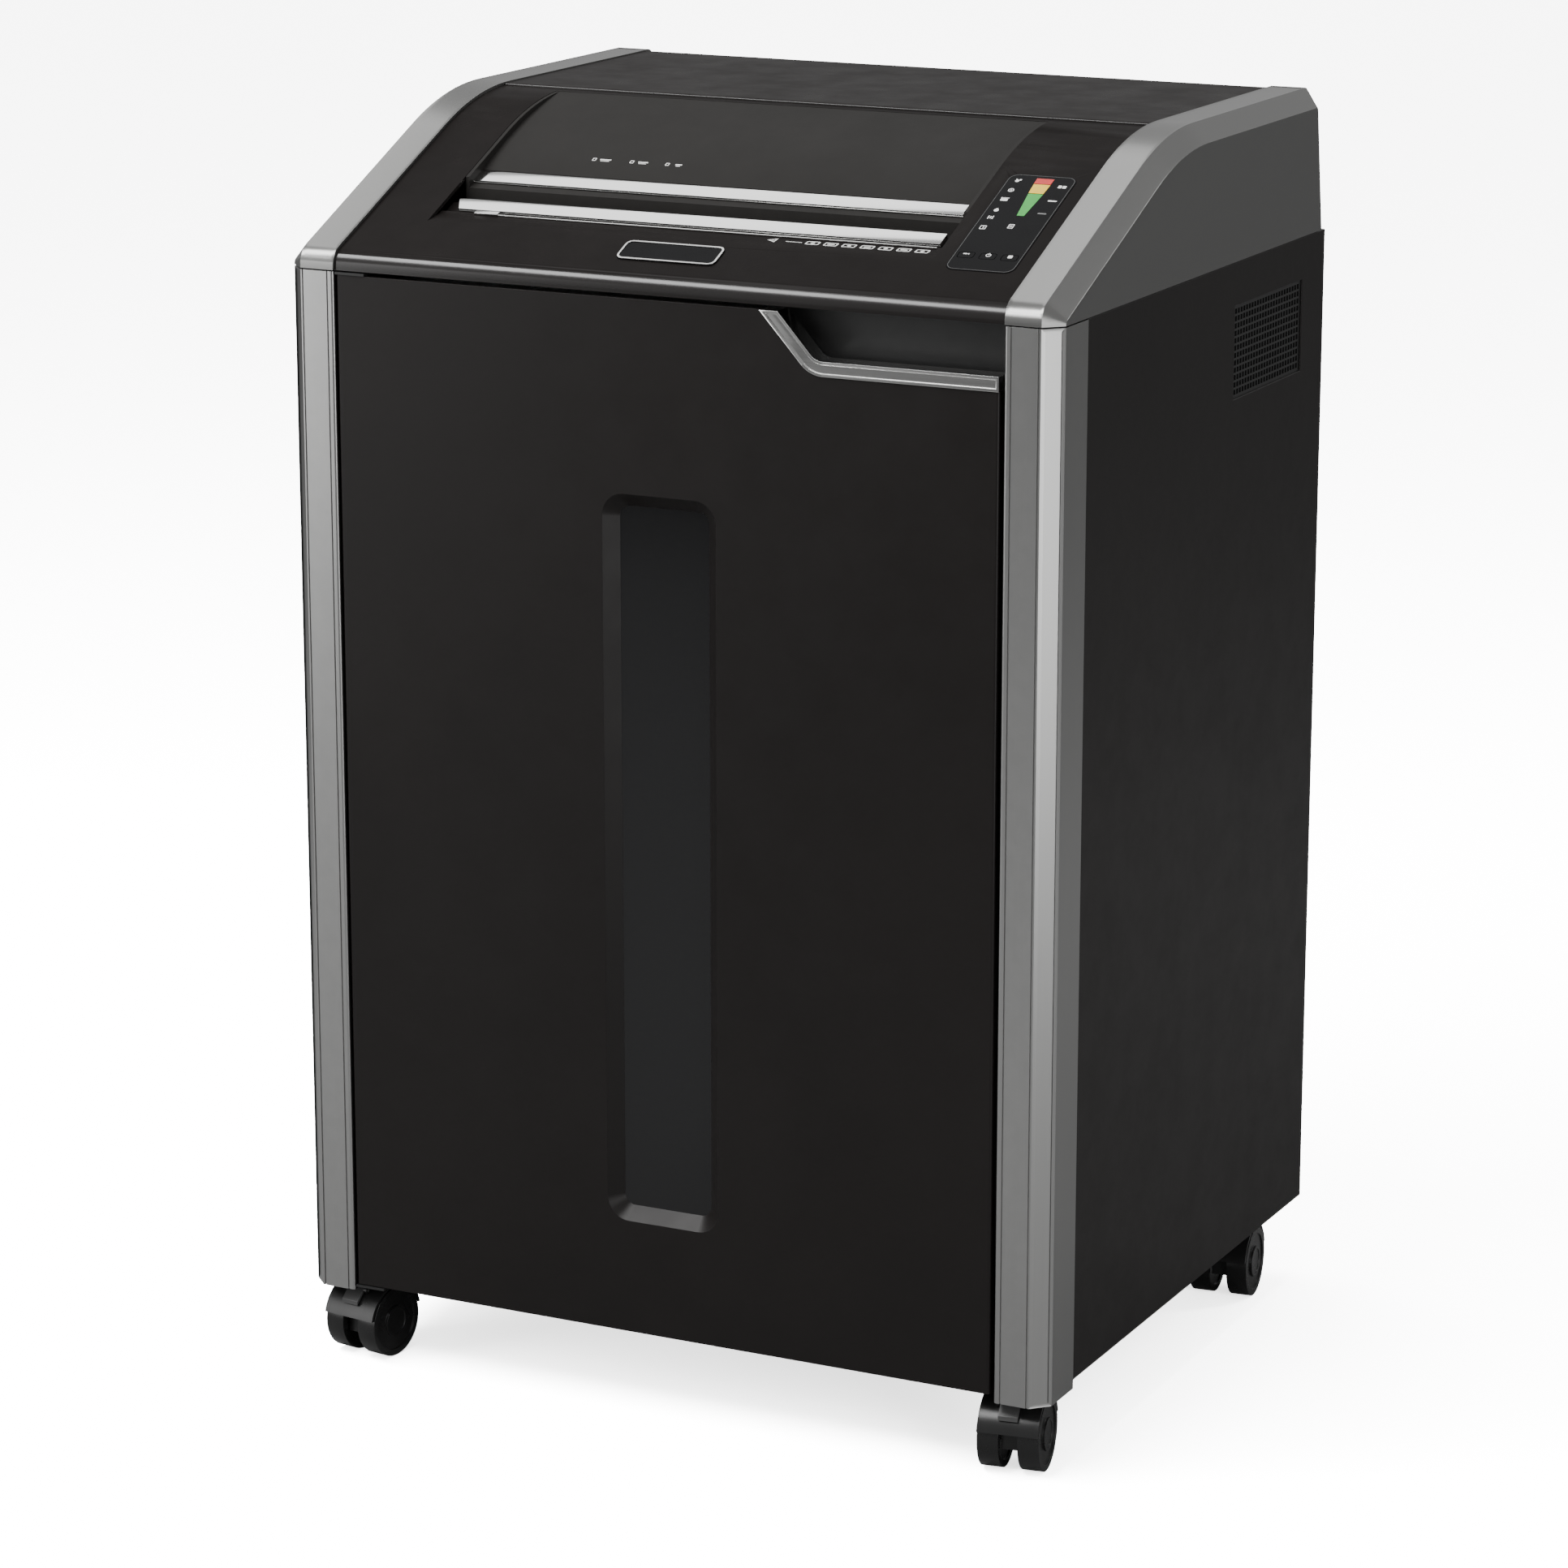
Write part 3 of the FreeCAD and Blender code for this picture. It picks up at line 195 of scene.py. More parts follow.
def make_grain_effect():
    """Moulded texture: fine relief, and slow drifts of shade and gloss."""
    tree, given, result = effect(
        "moulded_grain",
        [("Size", "float", 900.0), ("Drift", "float", 5.0)],
        [("Height", "float"), ("Shade", "float"), ("Gloss", "float")])
    place = add(tree, "TexCoord")
    fine = add(tree, "TexNoise", {"Detail": 3.0, "Roughness": 0.6})
    slow = add(tree, "TexNoise", {"Detail": 4.0, "Roughness": 0.55, "Distortion": 0.4})
    smear = add(tree, "TexNoise", {"Scale": 23.0, "Detail": 5.0, "Roughness": 0.65})
    for noise in (fine, slow, smear):
        tree.links.new(place.outputs["Object"], noise.inputs["Vector"])
    tree.links.new(given.outputs["Size"], fine.inputs["Scale"])
    tree.links.new(given.outputs["Drift"], slow.inputs["Scale"])
    tree.links.new(fine.outputs["Fac"], result.inputs["Height"])
    tree.links.new(spread(tree, slow.outputs["Fac"], 0.0, 1.0), result.inputs["Shade"])
    tree.links.new(spread(tree, smear.outputs["Fac"], 0.0, 1.0), result.inputs["Gloss"])
    return tree


def make_brush_effect():
    """Brushed or drawn metal: streaks along one axis, from a stretched noise."""
    tree, given, result = effect(
        "brushed_lines", [("Stretch", "vector", (900.0, 900.0, 4.0))],
        [("Height", "float"), ("Shade", "float")])
    place = add(tree, "TexCoord")
    scale = add(tree, "VectorMath", operation="MULTIPLY")
    tree.links.new(place.outputs["Object"], scale.inputs[0])
    tree.links.new(given.outputs["Stretch"], scale.inputs[1])
    lines = add(tree, "TexNoise", {"Scale": 1.0, "Detail": 4.0, "Roughness": 0.7})
    tree.links.new(scale.outputs[0], lines.inputs["Vector"])
    tree.links.new(lines.outputs["Fac"], result.inputs["Height"])
    tree.links.new(spread(tree, lines.outputs["Fac"], 0.0, 1.0), result.inputs["Shade"])
    return tree


def make_wear_effect():
    """Where edges are rubbed: a mask of convex places, broken up by noise."""
    tree, given, result = effect("edge_rub", [("Amount", "float", 0.5)], [("Mask", "float")])
    shape = add(tree, "NewGeometry")
    place = add(tree, "TexCoord")
    broken = add(tree, "TexNoise", {"Scale": 90.0, "Detail": 4.0})
    tree.links.new(place.outputs["Object"], broken.inputs["Vector"])
    convex = add(tree, "MapRange", {"From Min": 0.53, "From Max": 0.62, "To Min": 0.0, "To Max": 1.0})
    tree.links.new(shape.outputs["Pointiness"], convex.inputs["Value"])
    rough = add(tree, "Math", operation="MULTIPLY")
    tree.links.new(convex.outputs["Result"], rough.inputs[0])
    tree.links.new(spread(tree, broken.outputs["Fac"], 0.2, 1.0), rough.inputs[1])
    scaled = add(tree, "Math", operation="MULTIPLY", use_clamp=True)
    tree.links.new(rough.outputs[0], scaled.inputs[0])
    tree.links.new(given.outputs["Amount"], scaled.inputs[1])
    tree.links.new(scaled.outputs[0], result.inputs["Mask"])
    return tree


def make_dust_effect():
    """Fine dust that settles on upward faces."""
    tree, given, result = effect("settled_dust", [("Amount", "float", 0.1)], [("Mask", "float")])
    shape = add(tree, "NewGeometry")
    split = add(tree, "SeparateXYZ")
    tree.links.new(shape.outputs["Normal"], split.inputs[0])
    upward = add(tree, "MapRange", {"From Min": 0.6, "From Max": 1.0, "To Min": 0.0, "To Max": 1.0})
    tree.links.new(split.outputs["Z"], upward.inputs["Value"])
    place = add(tree, "TexCoord")
    cloud = add(tree, "TexNoise", {"Scale": 40.0, "Detail": 6.0, "Roughness": 0.7})
    tree.links.new(place.outputs["Object"], cloud.inputs["Vector"])
    patch = add(tree, "Math", operation="MULTIPLY")
    tree.links.new(upward.outputs["Result"], patch.inputs[0])
    tree.links.new(spread(tree, cloud.outputs["Fac"], 0.0, 1.0), patch.inputs[1])
    scaled = add(tree, "Math", operation="MULTIPLY", use_clamp=True)
    tree.links.new(patch.outputs[0], scaled.inputs[0])
    tree.links.new(given.outputs["Amount"], scaled.inputs[1])
    tree.links.new(scaled.outputs[0], result.inputs["Mask"])
    return tree


def make_shine_effect():
    """Gloss that lasts on fronts and edges, and is dulled by handling on upward faces."""
    tree, given, result = effect("lasting_shine", [("Most", "float", 1.0)], [("Amount", "float")])
    shape = add(tree, "NewGeometry")
    split = add(tree, "SeparateXYZ")
    tree.links.new(shape.outputs["Normal"], split.inputs[0])
    upright = add(tree, "MapRange", {"From Min": 0.72, "From Max": 0.86, "To Min": 1.0, "To Max": 0.0})
    tree.links.new(split.outputs["Z"], upright.inputs["Value"])
    scaled = add(tree, "Math", operation="MULTIPLY", use_clamp=True)
    tree.links.new(upright.outputs["Result"], scaled.inputs[0])
    tree.links.new(given.outputs["Most"], scaled.inputs[1])
    tree.links.new(scaled.outputs[0], result.inputs["Amount"])
    return tree


GRAIN = make_grain_effect()
BRUSH = make_brush_effect()
RUB = make_wear_effect()
DUST = make_dust_effect()
SHINE = make_shine_effect()


# ---- finishes -------------------------------------------------------------------------------------
def start_finish(name, metallic=0.0, **sockets):
    material = bpy.data.materials.new(name)
    material.use_nodes = True
    tree = material.node_tree
    shader = tree.nodes["Principled BSDF"]
    shader.inputs["Metallic"].default_value = metallic
    for key, value in sockets.items():
        shader.inputs[key.replace("_", " ")].default_value = value
    return material, tree, shader


def use(tree, group, **values):
    node = tree.nodes.new("ShaderNodeGroup")
    node.node_tree = group
    for key, value in values.items():
        node.inputs[key].default_value = value
    return node


def link_colour(tree, mask, low, high):
    mix = tree.nodes.new("ShaderNodeMix")
    mix.data_type = "RGBA"
    colours = [s for s in mix.inputs if s.type == "RGBA"]
    tree.links.new(mask, mix.inputs[0])
    for socket, value in zip(colours, (low, high)):
        if isinstance(value, bpy.types.NodeSocket):
            tree.links.new(value, socket)
        else:
            socket.default_value = (*value, 1)
    return [s for s in mix.outputs if s.type == "RGBA"][0]


def relief(tree, shader, height, depth, strength=1.0):
    bump = add(tree, "Bump", {"Strength": strength, "Distance": depth})
    tree.links.new(height, bump.inputs["Height"])
    tree.links.new(bump.outputs["Normal"], shader.inputs["Normal"])


def remap(tree, source, low, high):
    node = add(tree, "MapRange", {"To Min": low, "To Max": high})
    tree.links.new(source, node.inputs["Value"])
    return node.outputs["Result"]


def shaded(colour, factor):
    return tuple(min(1.0, c * factor) for c in colour)


def moulded(name, colour, rough, grain_size=1100.0, grain_depth=4e-6, rub=0.25, dust=0.02, spread_by=0.03,
             dulled=False, **sockets):
    """Moulded plastic or laminate: fine grain, slow drifts, rubbed edges and a little dust."""
    material, tree, shader = start_finish(name, **sockets)
    grain = use(tree, GRAIN, Size=grain_size, Drift=6.0)
    worn = use(tree, RUB, Amount=rub)
    dusty = use(tree, DUST, Amount=dust)
    base = link_colour(tree, grain.outputs["Shade"], shaded(colour, 0.94), shaded(colour, 1.06))
    rubbed = link_colour(tree, worn.outputs["Mask"], base, shaded(colour, 2.0))
    final = link_colour(tree, dusty.outputs["Mask"], rubbed, (0.30, 0.29, 0.28))
    tree.links.new(final, shader.inputs["Base Color"])
    gloss = remap(tree, grain.outputs["Gloss"], rough - spread_by, rough + spread_by)
    tree.links.new(gloss, shader.inputs["Roughness"])
    relief(tree, shader, grain.outputs["Height"], grain_depth)
    if dulled:
        tree.links.new(use(tree, SHINE).outputs["Amount"], shader.inputs["Coat Weight"])
    return material


def brushed(name, colour, rough, stretch, depth=3e-6, contrast=0.12, rub=0.2, **sockets):
    """Drawn, ground or polished metal with streaks along its length."""
    material, tree, shader = start_finish(name, metallic=1.0, **sockets)
    lines = use(tree, BRUSH, Stretch=stretch)
    worn = use(tree, RUB, Amount=rub)
    base = link_colour(tree, lines.outputs["Shade"],
                       shaded(colour, 1 - contrast), shaded(colour, 1 + contrast))
    final = link_colour(tree, worn.outputs["Mask"], base, shaded(colour, 1.5))
    tree.links.new(final, shader.inputs["Base Color"])
    gloss = remap(tree, lines.outputs["Shade"], rough * (1 - 1.5 * contrast), rough * (1 + 1.5 * contrast))
    tree.links.new(gloss, shader.inputs["Roughness"])
    relief(tree, shader, lines.outputs["Height"], depth)
    return material


def metallic_paint(name, colour, rough):
    """Silver paint: metal flakes under a thin coat."""
    material, tree, shader = start_finish(name, metallic=0.85, Coat_Weight=0.25, Coat_Roughness=0.15)
    grain = use(tree, GRAIN, Size=2600.0, Drift=3.0)
    worn = use(tree, RUB, Amount=0.04)
    base = link_colour(tree, grain.outputs["Height"], shaded(colour, 0.88), shaded(colour, 1.12))
    final = link_colour(tree, worn.outputs["Mask"], base, shaded(colour, 1.5))
    tree.links.new(final, shader.inputs["Base Color"])
    gloss = remap(tree, grain.outputs["Gloss"], rough - 0.006, rough + 0.006)
    tree.links.new(gloss, shader.inputs["Roughness"])
    relief(tree, shader, grain.outputs["Height"], 3e-7)
    return material


def zinc_sheet(name, colour, rough):
    """Galvanised sheet with its crystal spangle."""
    material, tree, shader = start_finish(name, metallic=1.0)
    place = add(tree, "TexCoord")
    crystals = add(tree, "TexVoronoi", {"Scale": 210.0, "Randomness": 1.0})
    tree.links.new(place.outputs["Object"], crystals.inputs["Vector"])
    grain = use(tree, GRAIN, Size=500.0, Drift=8.0)
    split = add(tree, "SeparateColor")
    tree.links.new(crystals.outputs["Color"], split.inputs[0])
    base = link_colour(tree, split.outputs[0], shaded(colour, 0.94), shaded(colour, 1.06))
    tree.links.new(base, shader.inputs["Base Color"])
    tree.links.new(remap(tree, split.outputs[1], rough - 0.02, rough + 0.03), shader.inputs["Roughness"])
    relief(tree, shader, grain.outputs["Height"], 3e-6)
    return material


def circuit_film(name):
    """Green solder mask over a pattern of tracks and pads."""
    material, tree, shader = start_finish(name, Coat_Weight=0.3)
    place = add(tree, "TexCoord")
    tracks = add(tree, "TexBrick", {"Scale": 160.0, "Mortar Size": 0.03})
    tracks.inputs["Color1"].default_value = (0.01, 0.09, 0.03, 1)
    tracks.inputs["Color2"].default_value = (0.015, 0.12, 0.04, 1)
    tracks.inputs["Mortar"].default_value = (0.10, 0.28, 0.10, 1)
    tree.links.new(place.outputs["Object"], tracks.inputs["Vector"])
    grain = use(tree, GRAIN, Size=700.0, Drift=20.0)
    tree.links.new(tracks.outputs["Color"], shader.inputs["Base Color"])
    tree.links.new(remap(tree, grain.outputs["Gloss"], 0.3, 0.45), shader.inputs["Roughness"])
    relief(tree, shader, tracks.outputs["Fac"], 2e-5)
    return material


def printed_ink(name, colour, glow=0.0):
    """Printed mark, slightly uneven; a glow, where given, adds emission to it, painted glow on the white and cover
    marks.
    """
    material, tree, shader = start_finish(name)
    grain = use(tree, GRAIN, Size=1500.0, Drift=120.0)
    base = link_colour(tree, grain.outputs["Shade"], shaded(colour, 0.88), colour)
    tree.links.new(base, shader.inputs["Base Color"])
    tree.links.new(remap(tree, grain.outputs["Gloss"], 0.35, 0.5), shader.inputs["Roughness"])
    # emission: painted glow for the printed white and cover marks
    if glow:
        tree.links.new(base, shader.inputs["Emission Color"])
        shader.inputs["Emission Strength"].default_value = glow
    return material


BLACK = (0.0098, 0.0084, 0.0080)
FINISHES = {
    "laminate": moulded("black_laminate", BLACK, 0.36, 700.0, 4e-6, rub=0.05, dust=0.01,
                        Specular_IOR_Level=0.22),
    "cover": moulded("black_cover_plastic", BLACK, 0.30, 1600.0, 3e-7, rub=0.02, dust=0.005, dulled=True,
                     Specular_IOR_Level=0.015, Coat_Roughness=0.2),
    "ramp": moulded("grey_ramp_plastic", (0.022, 0.021, 0.020), 0.42, 1300.0, 4e-6, rub=0.1, dust=0.004,
                    Specular_IOR_Level=0.03),
    "nylon": moulded("black_nylon", (0.011, 0.011, 0.011), 0.3, 900.0, 6e-6, rub=0.3, dust=0.02),
    "tread": moulded("polyurethane_tread", (0.009, 0.009, 0.009), 0.27, 500.0, 5e-6, rub=0.6, dust=0.03),
    "lever": moulded("grey_nylon", (0.06, 0.06, 0.06), 0.42, 900.0, 8e-6, rub=0.5),
    "bin": moulded("bin_polymer", (0.035, 0.036, 0.038), 0.5, 600.0, 1.5e-5, rub=0.3, dust=0.2),
    "inlet": moulded("inlet_polymer", (0.012, 0.012, 0.012), 0.45, 1200.0, 6e-6),
    "rocker": moulded("rocker_polymer", (0.012, 0.012, 0.012), 0.18, 1800.0, 1e-6),
    "film": moulded("panel_film", (0.004, 0.004, 0.0045), 0.26, 2200.0, 5e-7, rub=0.02, dust=0.0,
                    Specular_IOR_Level=0.03),
    "pane": moulded("smoked_pane", (0.006, 0.006, 0.0065), 0.08, 2500.0, 3e-7,
                    rub=0.0, dust=0.02, spread_by=0.02),
    "mesh": moulded("black_powder_coat", (0.010, 0.010, 0.010), 0.45, 1400.0, 8e-6, rub=0.5),
    "motor": moulded("motor_enamel", (0.05, 0.052, 0.055), 0.4, 800.0, 1e-5, rub=0.5, dust=0.3),
    "cheek": metallic_paint("silver_paint", (0.235, 0.235, 0.23), 0.26),
    "column": brushed("anodised_extrusion", (0.40, 0.40, 0.395), 0.3, (1400.0, 1400.0, 3.0), 1.5e-7,
                      contrast=0.012,
                      rub=0.1),
    "bar": brushed("polished_bar_metal", (0.86, 0.86, 0.85), 0.12, (5.0, 1800.0, 1800.0), 1e-6,
                   contrast=0.05),
    "trim": brushed("drawn_trim_metal", (0.62, 0.62, 0.61), 0.2, (5.0, 1800.0, 1800.0), 1e-6, contrast=0.06),
    "cutter": brushed("ground_cutter_steel", (0.33, 0.33, 0.34), 0.28, (1500.0, 30.0, 30.0), contrast=0.2),
    "gear": brushed("hobbed_gear_steel", (0.36, 0.35, 0.34), 0.32, (900.0, 60.0, 60.0), contrast=0.15),
    "bronze": brushed("sintered_bronze", (0.52, 0.34, 0.16), 0.36, (700.0, 200.0, 200.0), contrast=0.12),
    "zinc": brushed("zinc_plating", (0.5, 0.5, 0.5), 0.3, (900.0, 900.0, 300.0), contrast=0.1),
    "sheet": zinc_sheet("galvanised_sheet", (0.42, 0.43, 0.44), 0.34),
    "board": circuit_film("solder_mask"),
    # panel outline: a printed ring that is also a painted highlight, the lighter line of the panel's rolled edge
    "line_ink_and_painted_highlight": printed_ink("outline_print_and_painted_highlight", (0.055, 0.055, 0.055)),
    # cover marks: printed ink with a painted glow that makes them brighter than their lighting; no lamp is behind
    # them
    "cover_ink_painted_glow": printed_ink("cover_print_painted_glow", (0.8, 0.8, 0.78), 0.12),
    # panel icons and key marks: printed white with a painted glow that makes them brighter than their lighting; no
    # lamp is behind them
    "white_ink_painted_glow": printed_ink("white_print_painted_glow", (0.8, 0.8, 0.79), 0.25),
    "dim_ink": printed_ink("dim_print", (0.16, 0.16, 0.16), 0.0),
    "red_ink": printed_ink("red_light", (0.55, 0.010, 0.006), 0.25),
    "yellow_ink": printed_ink("yellow_light", (0.78, 0.50, 0.015), 0.25),
    "green_ink": printed_ink("green_light", (0.02, 0.33, 0.035), 0.25),
}


# ---- working on meshes ----------------------------------------------------------------------------
def only(obj):
    bpy.ops.object.select_all(action="DESELECT")
    obj.select_set(True)
    bpy.context.view_layer.objects.active = obj


def finish_modifier(obj, kind, **settings):
    only(obj)
    modifier = obj.modifiers.new(kind.lower(), kind)
    for key, value in settings.items():
        setattr(modifier, key, value)
    bpy.ops.object.modifier_apply(modifier=modifier.name)


def smooth(obj, degrees=32.0):
    only(obj)
    bpy.ops.object.shade_smooth_by_angle(angle=math.radians(degrees))


def dress(obj, finish, body, slot, *nodes):
    """Give a finished piece its material and its body, and hide the CAD nodes that it stands for; the slot
    argument is not used.
    """
    obj.data.materials.clear()
    obj.data.materials.append(FINISHES[finish])
    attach(obj, body)
    if nodes:
        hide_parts(*nodes)
    return obj


BODY_OF = {n: b for b, names in frame["record"]["behaviour"]["bodies"].items() for n in names}
SLOT_OF = {s["node"]: s["material_slot"] for s in frame["record"]["subparts"]}


def rolled_copy(node, name):
    """A clean copy of a CAD node's mesh, its loose triangles joined into flat faces."""
    piece = bpy.data.objects.new(name, frame["nodes"][node].data.copy())
    bpy.context.scene.collection.objects.link(piece)
    only(piece)
    bpy.ops.object.mode_set(mode="EDIT")
    bpy.ops.mesh.select_all(action="SELECT")
    bpy.ops.mesh.remove_doubles(threshold=1e-6)
    bpy.ops.mesh.dissolve_limited(angle_limit=math.radians(0.6))
    bpy.ops.object.mode_set(mode="OBJECT")
    return piece


def rolled(node, finish, width, segments=3, degrees=32.0):
    """A copy of a CAD node with its sharp edges rolled over, as the real piece's are."""
    piece = rolled_copy(node, node + "_shell")
    if node in STRIPED:
        side = 1 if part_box(node)[0][0] > 0 else -1
        pick(piece, lambda c, n: STRIPED[node](n.x * side, n.y, n.z))
        bpy.ops.mesh.inset(thickness=STRIP_MARGIN, depth=-STRIP_DEPTH, use_even_offset=True)
        done()
    finish_modifier(piece, "BEVEL", width=width, segments=segments, limit_method="ANGLE",
                    angle_limit=math.radians(degrees), use_clamp_overlap=True)
    smooth(piece, degrees)
    finish_modifier(piece, "WEIGHTED_NORMAL", keep_sharp=True)
    return dress(piece, finish, BODY_OF[node], SLOT_OF[node], node)


STRIP_MARGIN = 0.0030
STRIP_DEPTH = 0.0006


def column_strip(out, y, z):
    return out > 0.4 and y < -0.4 and abs(z) < 0.1


def cheek_strip(out, y, z):
    return abs(out) < 0.15 and z > 0.3 and y < 0.1


STRIPED = {
    "column_left": column_strip, "column_right": column_strip,
    "cheek_left": cheek_strip, "cheek_right": cheek_strip,
}
CASTERS = ("front_left", "front_right", "rear_left", "rear_right")
PLAIN_NODES = {
    "base_board": "laminate", "bin_runners": "bin", "caster_stems": "zinc", "control_board": "board",
    "cutter_bushes": "bronze", "cutter_front": "cutter", "cutter_rear": "cutter", "door_pivots": "mesh",
    "drive_gear": "gear", "front_guard": "sheet", "intermediate_axle": "gear", "intermediate_gear": "gear",
    "machine_deck": "sheet", "motor_rotor": "gear", "rear_screws": "zinc", "stripper_combs": "sheet",
    "throat_guides": "sheet", "tie_rods": "gear", "timing_gear_front": "gear", "timing_gear_rear": "gear",
    "vent_grilles": "mesh", "interlock_switch": "inlet",
}
ROLLED_NODES = {
    "column_left": ("column", 0.0012), "column_right": ("column", 0.0012),
    "cheek_left": ("cheek", 0.0022), "cheek_right": ("cheek", 0.0022),
    "front_cover": ("cover", 0.0012), "top_cover": ("cover", 0.0010), "rear_cover": ("cover", 0.0010),
    "entry_ramp": ("ramp", 0.0005), "door_panel": ("laminate", 0.0009),
    "door_window": ("pane", 0.0004), "handle_recess": ("inlet", 0.0006),
    "side_panel_left": ("laminate", 0.0008), "side_panel_right": ("laminate", 0.0008),
    "rear_panel": ("laminate", 0.0008), "control_panel": ("film", 0.0003),
    "key_reverse": ("film", 0.0002), "key_power": ("film", 0.0002), "key_forward": ("film", 0.0002),
    "badge_plate": ("film", 0.0004), "waste_bin": ("bin", 0.0010), "power_inlet": ("inlet", 0.0005),
    "power_rocker": ("rocker", 0.0005), "motor_body": ("motor", 0.0008),
    "frame_plate_left": ("sheet", 0.0006), "frame_plate_right": ("sheet", 0.0006),
    "brake_lever_left": ("lever", 0.0004), "brake_lever_right": ("lever", 0.0004),
}


def finish_nodes():
    for node, finish in PLAIN_NODES.items():
        obj = frame["nodes"][node]
        obj.data.materials.clear()
        obj.data.materials.append(FINISHES[finish])
    for place in CASTERS:
        rolled("caster_hood_" + place, "nylon", 0.0006)
    for node, (finish, width) in ROLLED_NODES.items():
        rolled(node, finish, width)


# ---- building by hand -----------------------------------------------------------------------------
def name_new(name):
    piece = bpy.context.active_object
    piece.name = name
    piece.data.name = name
    return piece


def settle(piece, place=(0, 0, 0), turn=(0, 0, 0)):
    """Turn and move a piece, and put that place into its mesh."""
    only(piece)
    piece.rotation_euler = turn
    piece.location = place
    bpy.ops.object.transform_apply(location=True, rotation=True, scale=True)
    return piece


def join(name, pieces):
    bpy.ops.object.select_all(action="DESELECT")
    for piece in pieces:
        piece.select_set(True)
    bpy.context.view_layer.objects.active = pieces[0]
    if len(pieces) > 1:
        bpy.ops.object.join()
    return name_new(name)


def block(name, low, high):
    low, high = Vector(low), Vector(high)
    bpy.ops.object.select_all(action="DESELECT")
    bpy.ops.mesh.primitive_cube_add(size=1, location=(low + high) / 2, scale=high - low)
    bpy.ops.object.transform_apply(location=True, rotation=True, scale=True)
    return name_new(name)


def edit(piece, mode="FACE"):
    only(piece)
    bpy.ops.object.mode_set(mode="EDIT")
    bpy.ops.mesh.select_mode(type=mode)
    bpy.ops.mesh.select_all(action="DESELECT")
    bpy.ops.object.mode_set(mode="OBJECT")


def pick(piece, test):
    """Select the faces that pass a test on their centre and normal, and stay in edit mode."""
    edit(piece)
    for face in piece.data.polygons:
        face.select = test(face.center, face.normal)
    bpy.ops.object.mode_set(mode="EDIT")


def pick_points(piece, test):
    edit(piece, "VERT")
    for point in piece.data.vertices:
        point.select = test(point.co)
    bpy.ops.object.mode_set(mode="EDIT")


def done():
    bpy.ops.object.mode_set(mode="OBJECT")


def cut_plane(piece, place, normal):
    only(piece)
    bpy.ops.object.mode_set(mode="EDIT")
    bpy.ops.mesh.select_all(action="SELECT")
    bpy.ops.mesh.bisect(plane_co=place, plane_no=normal)
    done()


def sink(vector):
    """Extrude the picked faces by a vector."""
    bpy.ops.mesh.extrude_region_move(TRANSFORM_OT_translate={"value": vector})


def outward(piece):
    only(piece)
    bpy.ops.object.mode_set(mode="EDIT")
    bpy.ops.mesh.select_all(action="SELECT")
    bpy.ops.mesh.remove_doubles(threshold=1e-6)
    bpy.ops.mesh.normals_make_consistent(inside=False)
    done()
    return piece


def soften(piece, width, segments=2, degrees=32.0):
    finish_modifier(piece, "BEVEL", width=width, segments=segments, limit_method="ANGLE",
                    angle_limit=math.radians(degrees), use_clamp_overlap=True)
    smooth(piece, degrees)
    return piece


# ---- places on the front slope --------------------------------------------------------------------
def slope_sizes(node):
    """Length up the slope and thickness of a plate that lies on it, from its box."""
    low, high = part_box(node)
    dy, dz = high[1] - low[1], high[2] - low[2]
    cos, sin = math.cos(SLOPE), math.sin(SLOPE)
    turned = cos * cos - sin * sin
    return (dy * cos - dz * sin) / turned, (dz * cos - dy * sin) / turned


def slope_top(node):
    """The left front corner of the top face of a plate that lies on the slope."""
    low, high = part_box(node)
    thickness = slope_sizes(node)[1]
    return Vector((low[0], low[1], low[2] + thickness * math.cos(SLOPE)))


PANEL = slope_top("control_panel")
BADGE = slope_top("badge_plate")
PANEL_PROUD = 0.0004
COVER = PANEL - FACE_UP * PANEL_PROUD


def on_cover(x, y, drop=0.0):
    """The point of the cover's slope at x and y, in metres, drop below it."""
    return Vector((x, y, COVER.z + (y - COVER.y) * math.tan(SLOPE) - drop))


# ---- printed marks --------------------------------------------------------------------------------
def plate(u, s, width, height, corner=0.0, ring=0.0):
    bpy.ops.object.select_all(action="DESELECT")
    bpy.ops.mesh.primitive_plane_add(size=1, location=(u * MM, s * MM, 0))
    piece = bpy.context.active_object
    piece.scale = (width * MM, height * MM, 1)
    bpy.ops.object.transform_apply(location=True, rotation=True, scale=True)
    bpy.ops.object.mode_set(mode="EDIT")
    bpy.ops.mesh.select_all(action="SELECT")
    if corner:
        bpy.ops.mesh.bevel(offset=corner * MM, segments=5, affect="VERTICES")
    if ring:
        bpy.ops.mesh.select_all(action="SELECT")
        bpy.ops.mesh.inset(thickness=ring * MM)
        bpy.ops.mesh.delete(type="FACE")
    done()
    return piece


def disc(u, s, radius, ring=0.0, sides=20):
    bpy.ops.object.select_all(action="DESELECT")
    turn = math.radians(90) if sides == 3 else 0
    bpy.ops.mesh.primitive_circle_add(vertices=sides, radius=radius * MM, fill_type="NGON",
                                      location=(u * MM, s * MM, 0), rotation=(0, 0, turn))
    bpy.ops.object.transform_apply(location=True, rotation=True, scale=True)
    piece = bpy.context.active_object
    if ring:
        bpy.ops.object.mode_set(mode="EDIT")
        bpy.ops.mesh.select_all(action="SELECT")
        bpy.ops.mesh.inset(thickness=ring * MM)
        bpy.ops.mesh.delete(type="FACE")
        done()
    return piece


def surface_at(node, x, y):
    """The point of a node's upper surface at x and y, and how steep it is there."""
    mesh = frame["nodes"][node].data
    tree = BVHTree.FromPolygons([v.co for v in mesh.vertices], [p.vertices for p in mesh.polygons])
    place, normal = tree.ray_cast(Vector((x, y, 2)), Vector((0, 0, -1)))[:2]
    return place, math.atan2(-normal.y, normal.z)


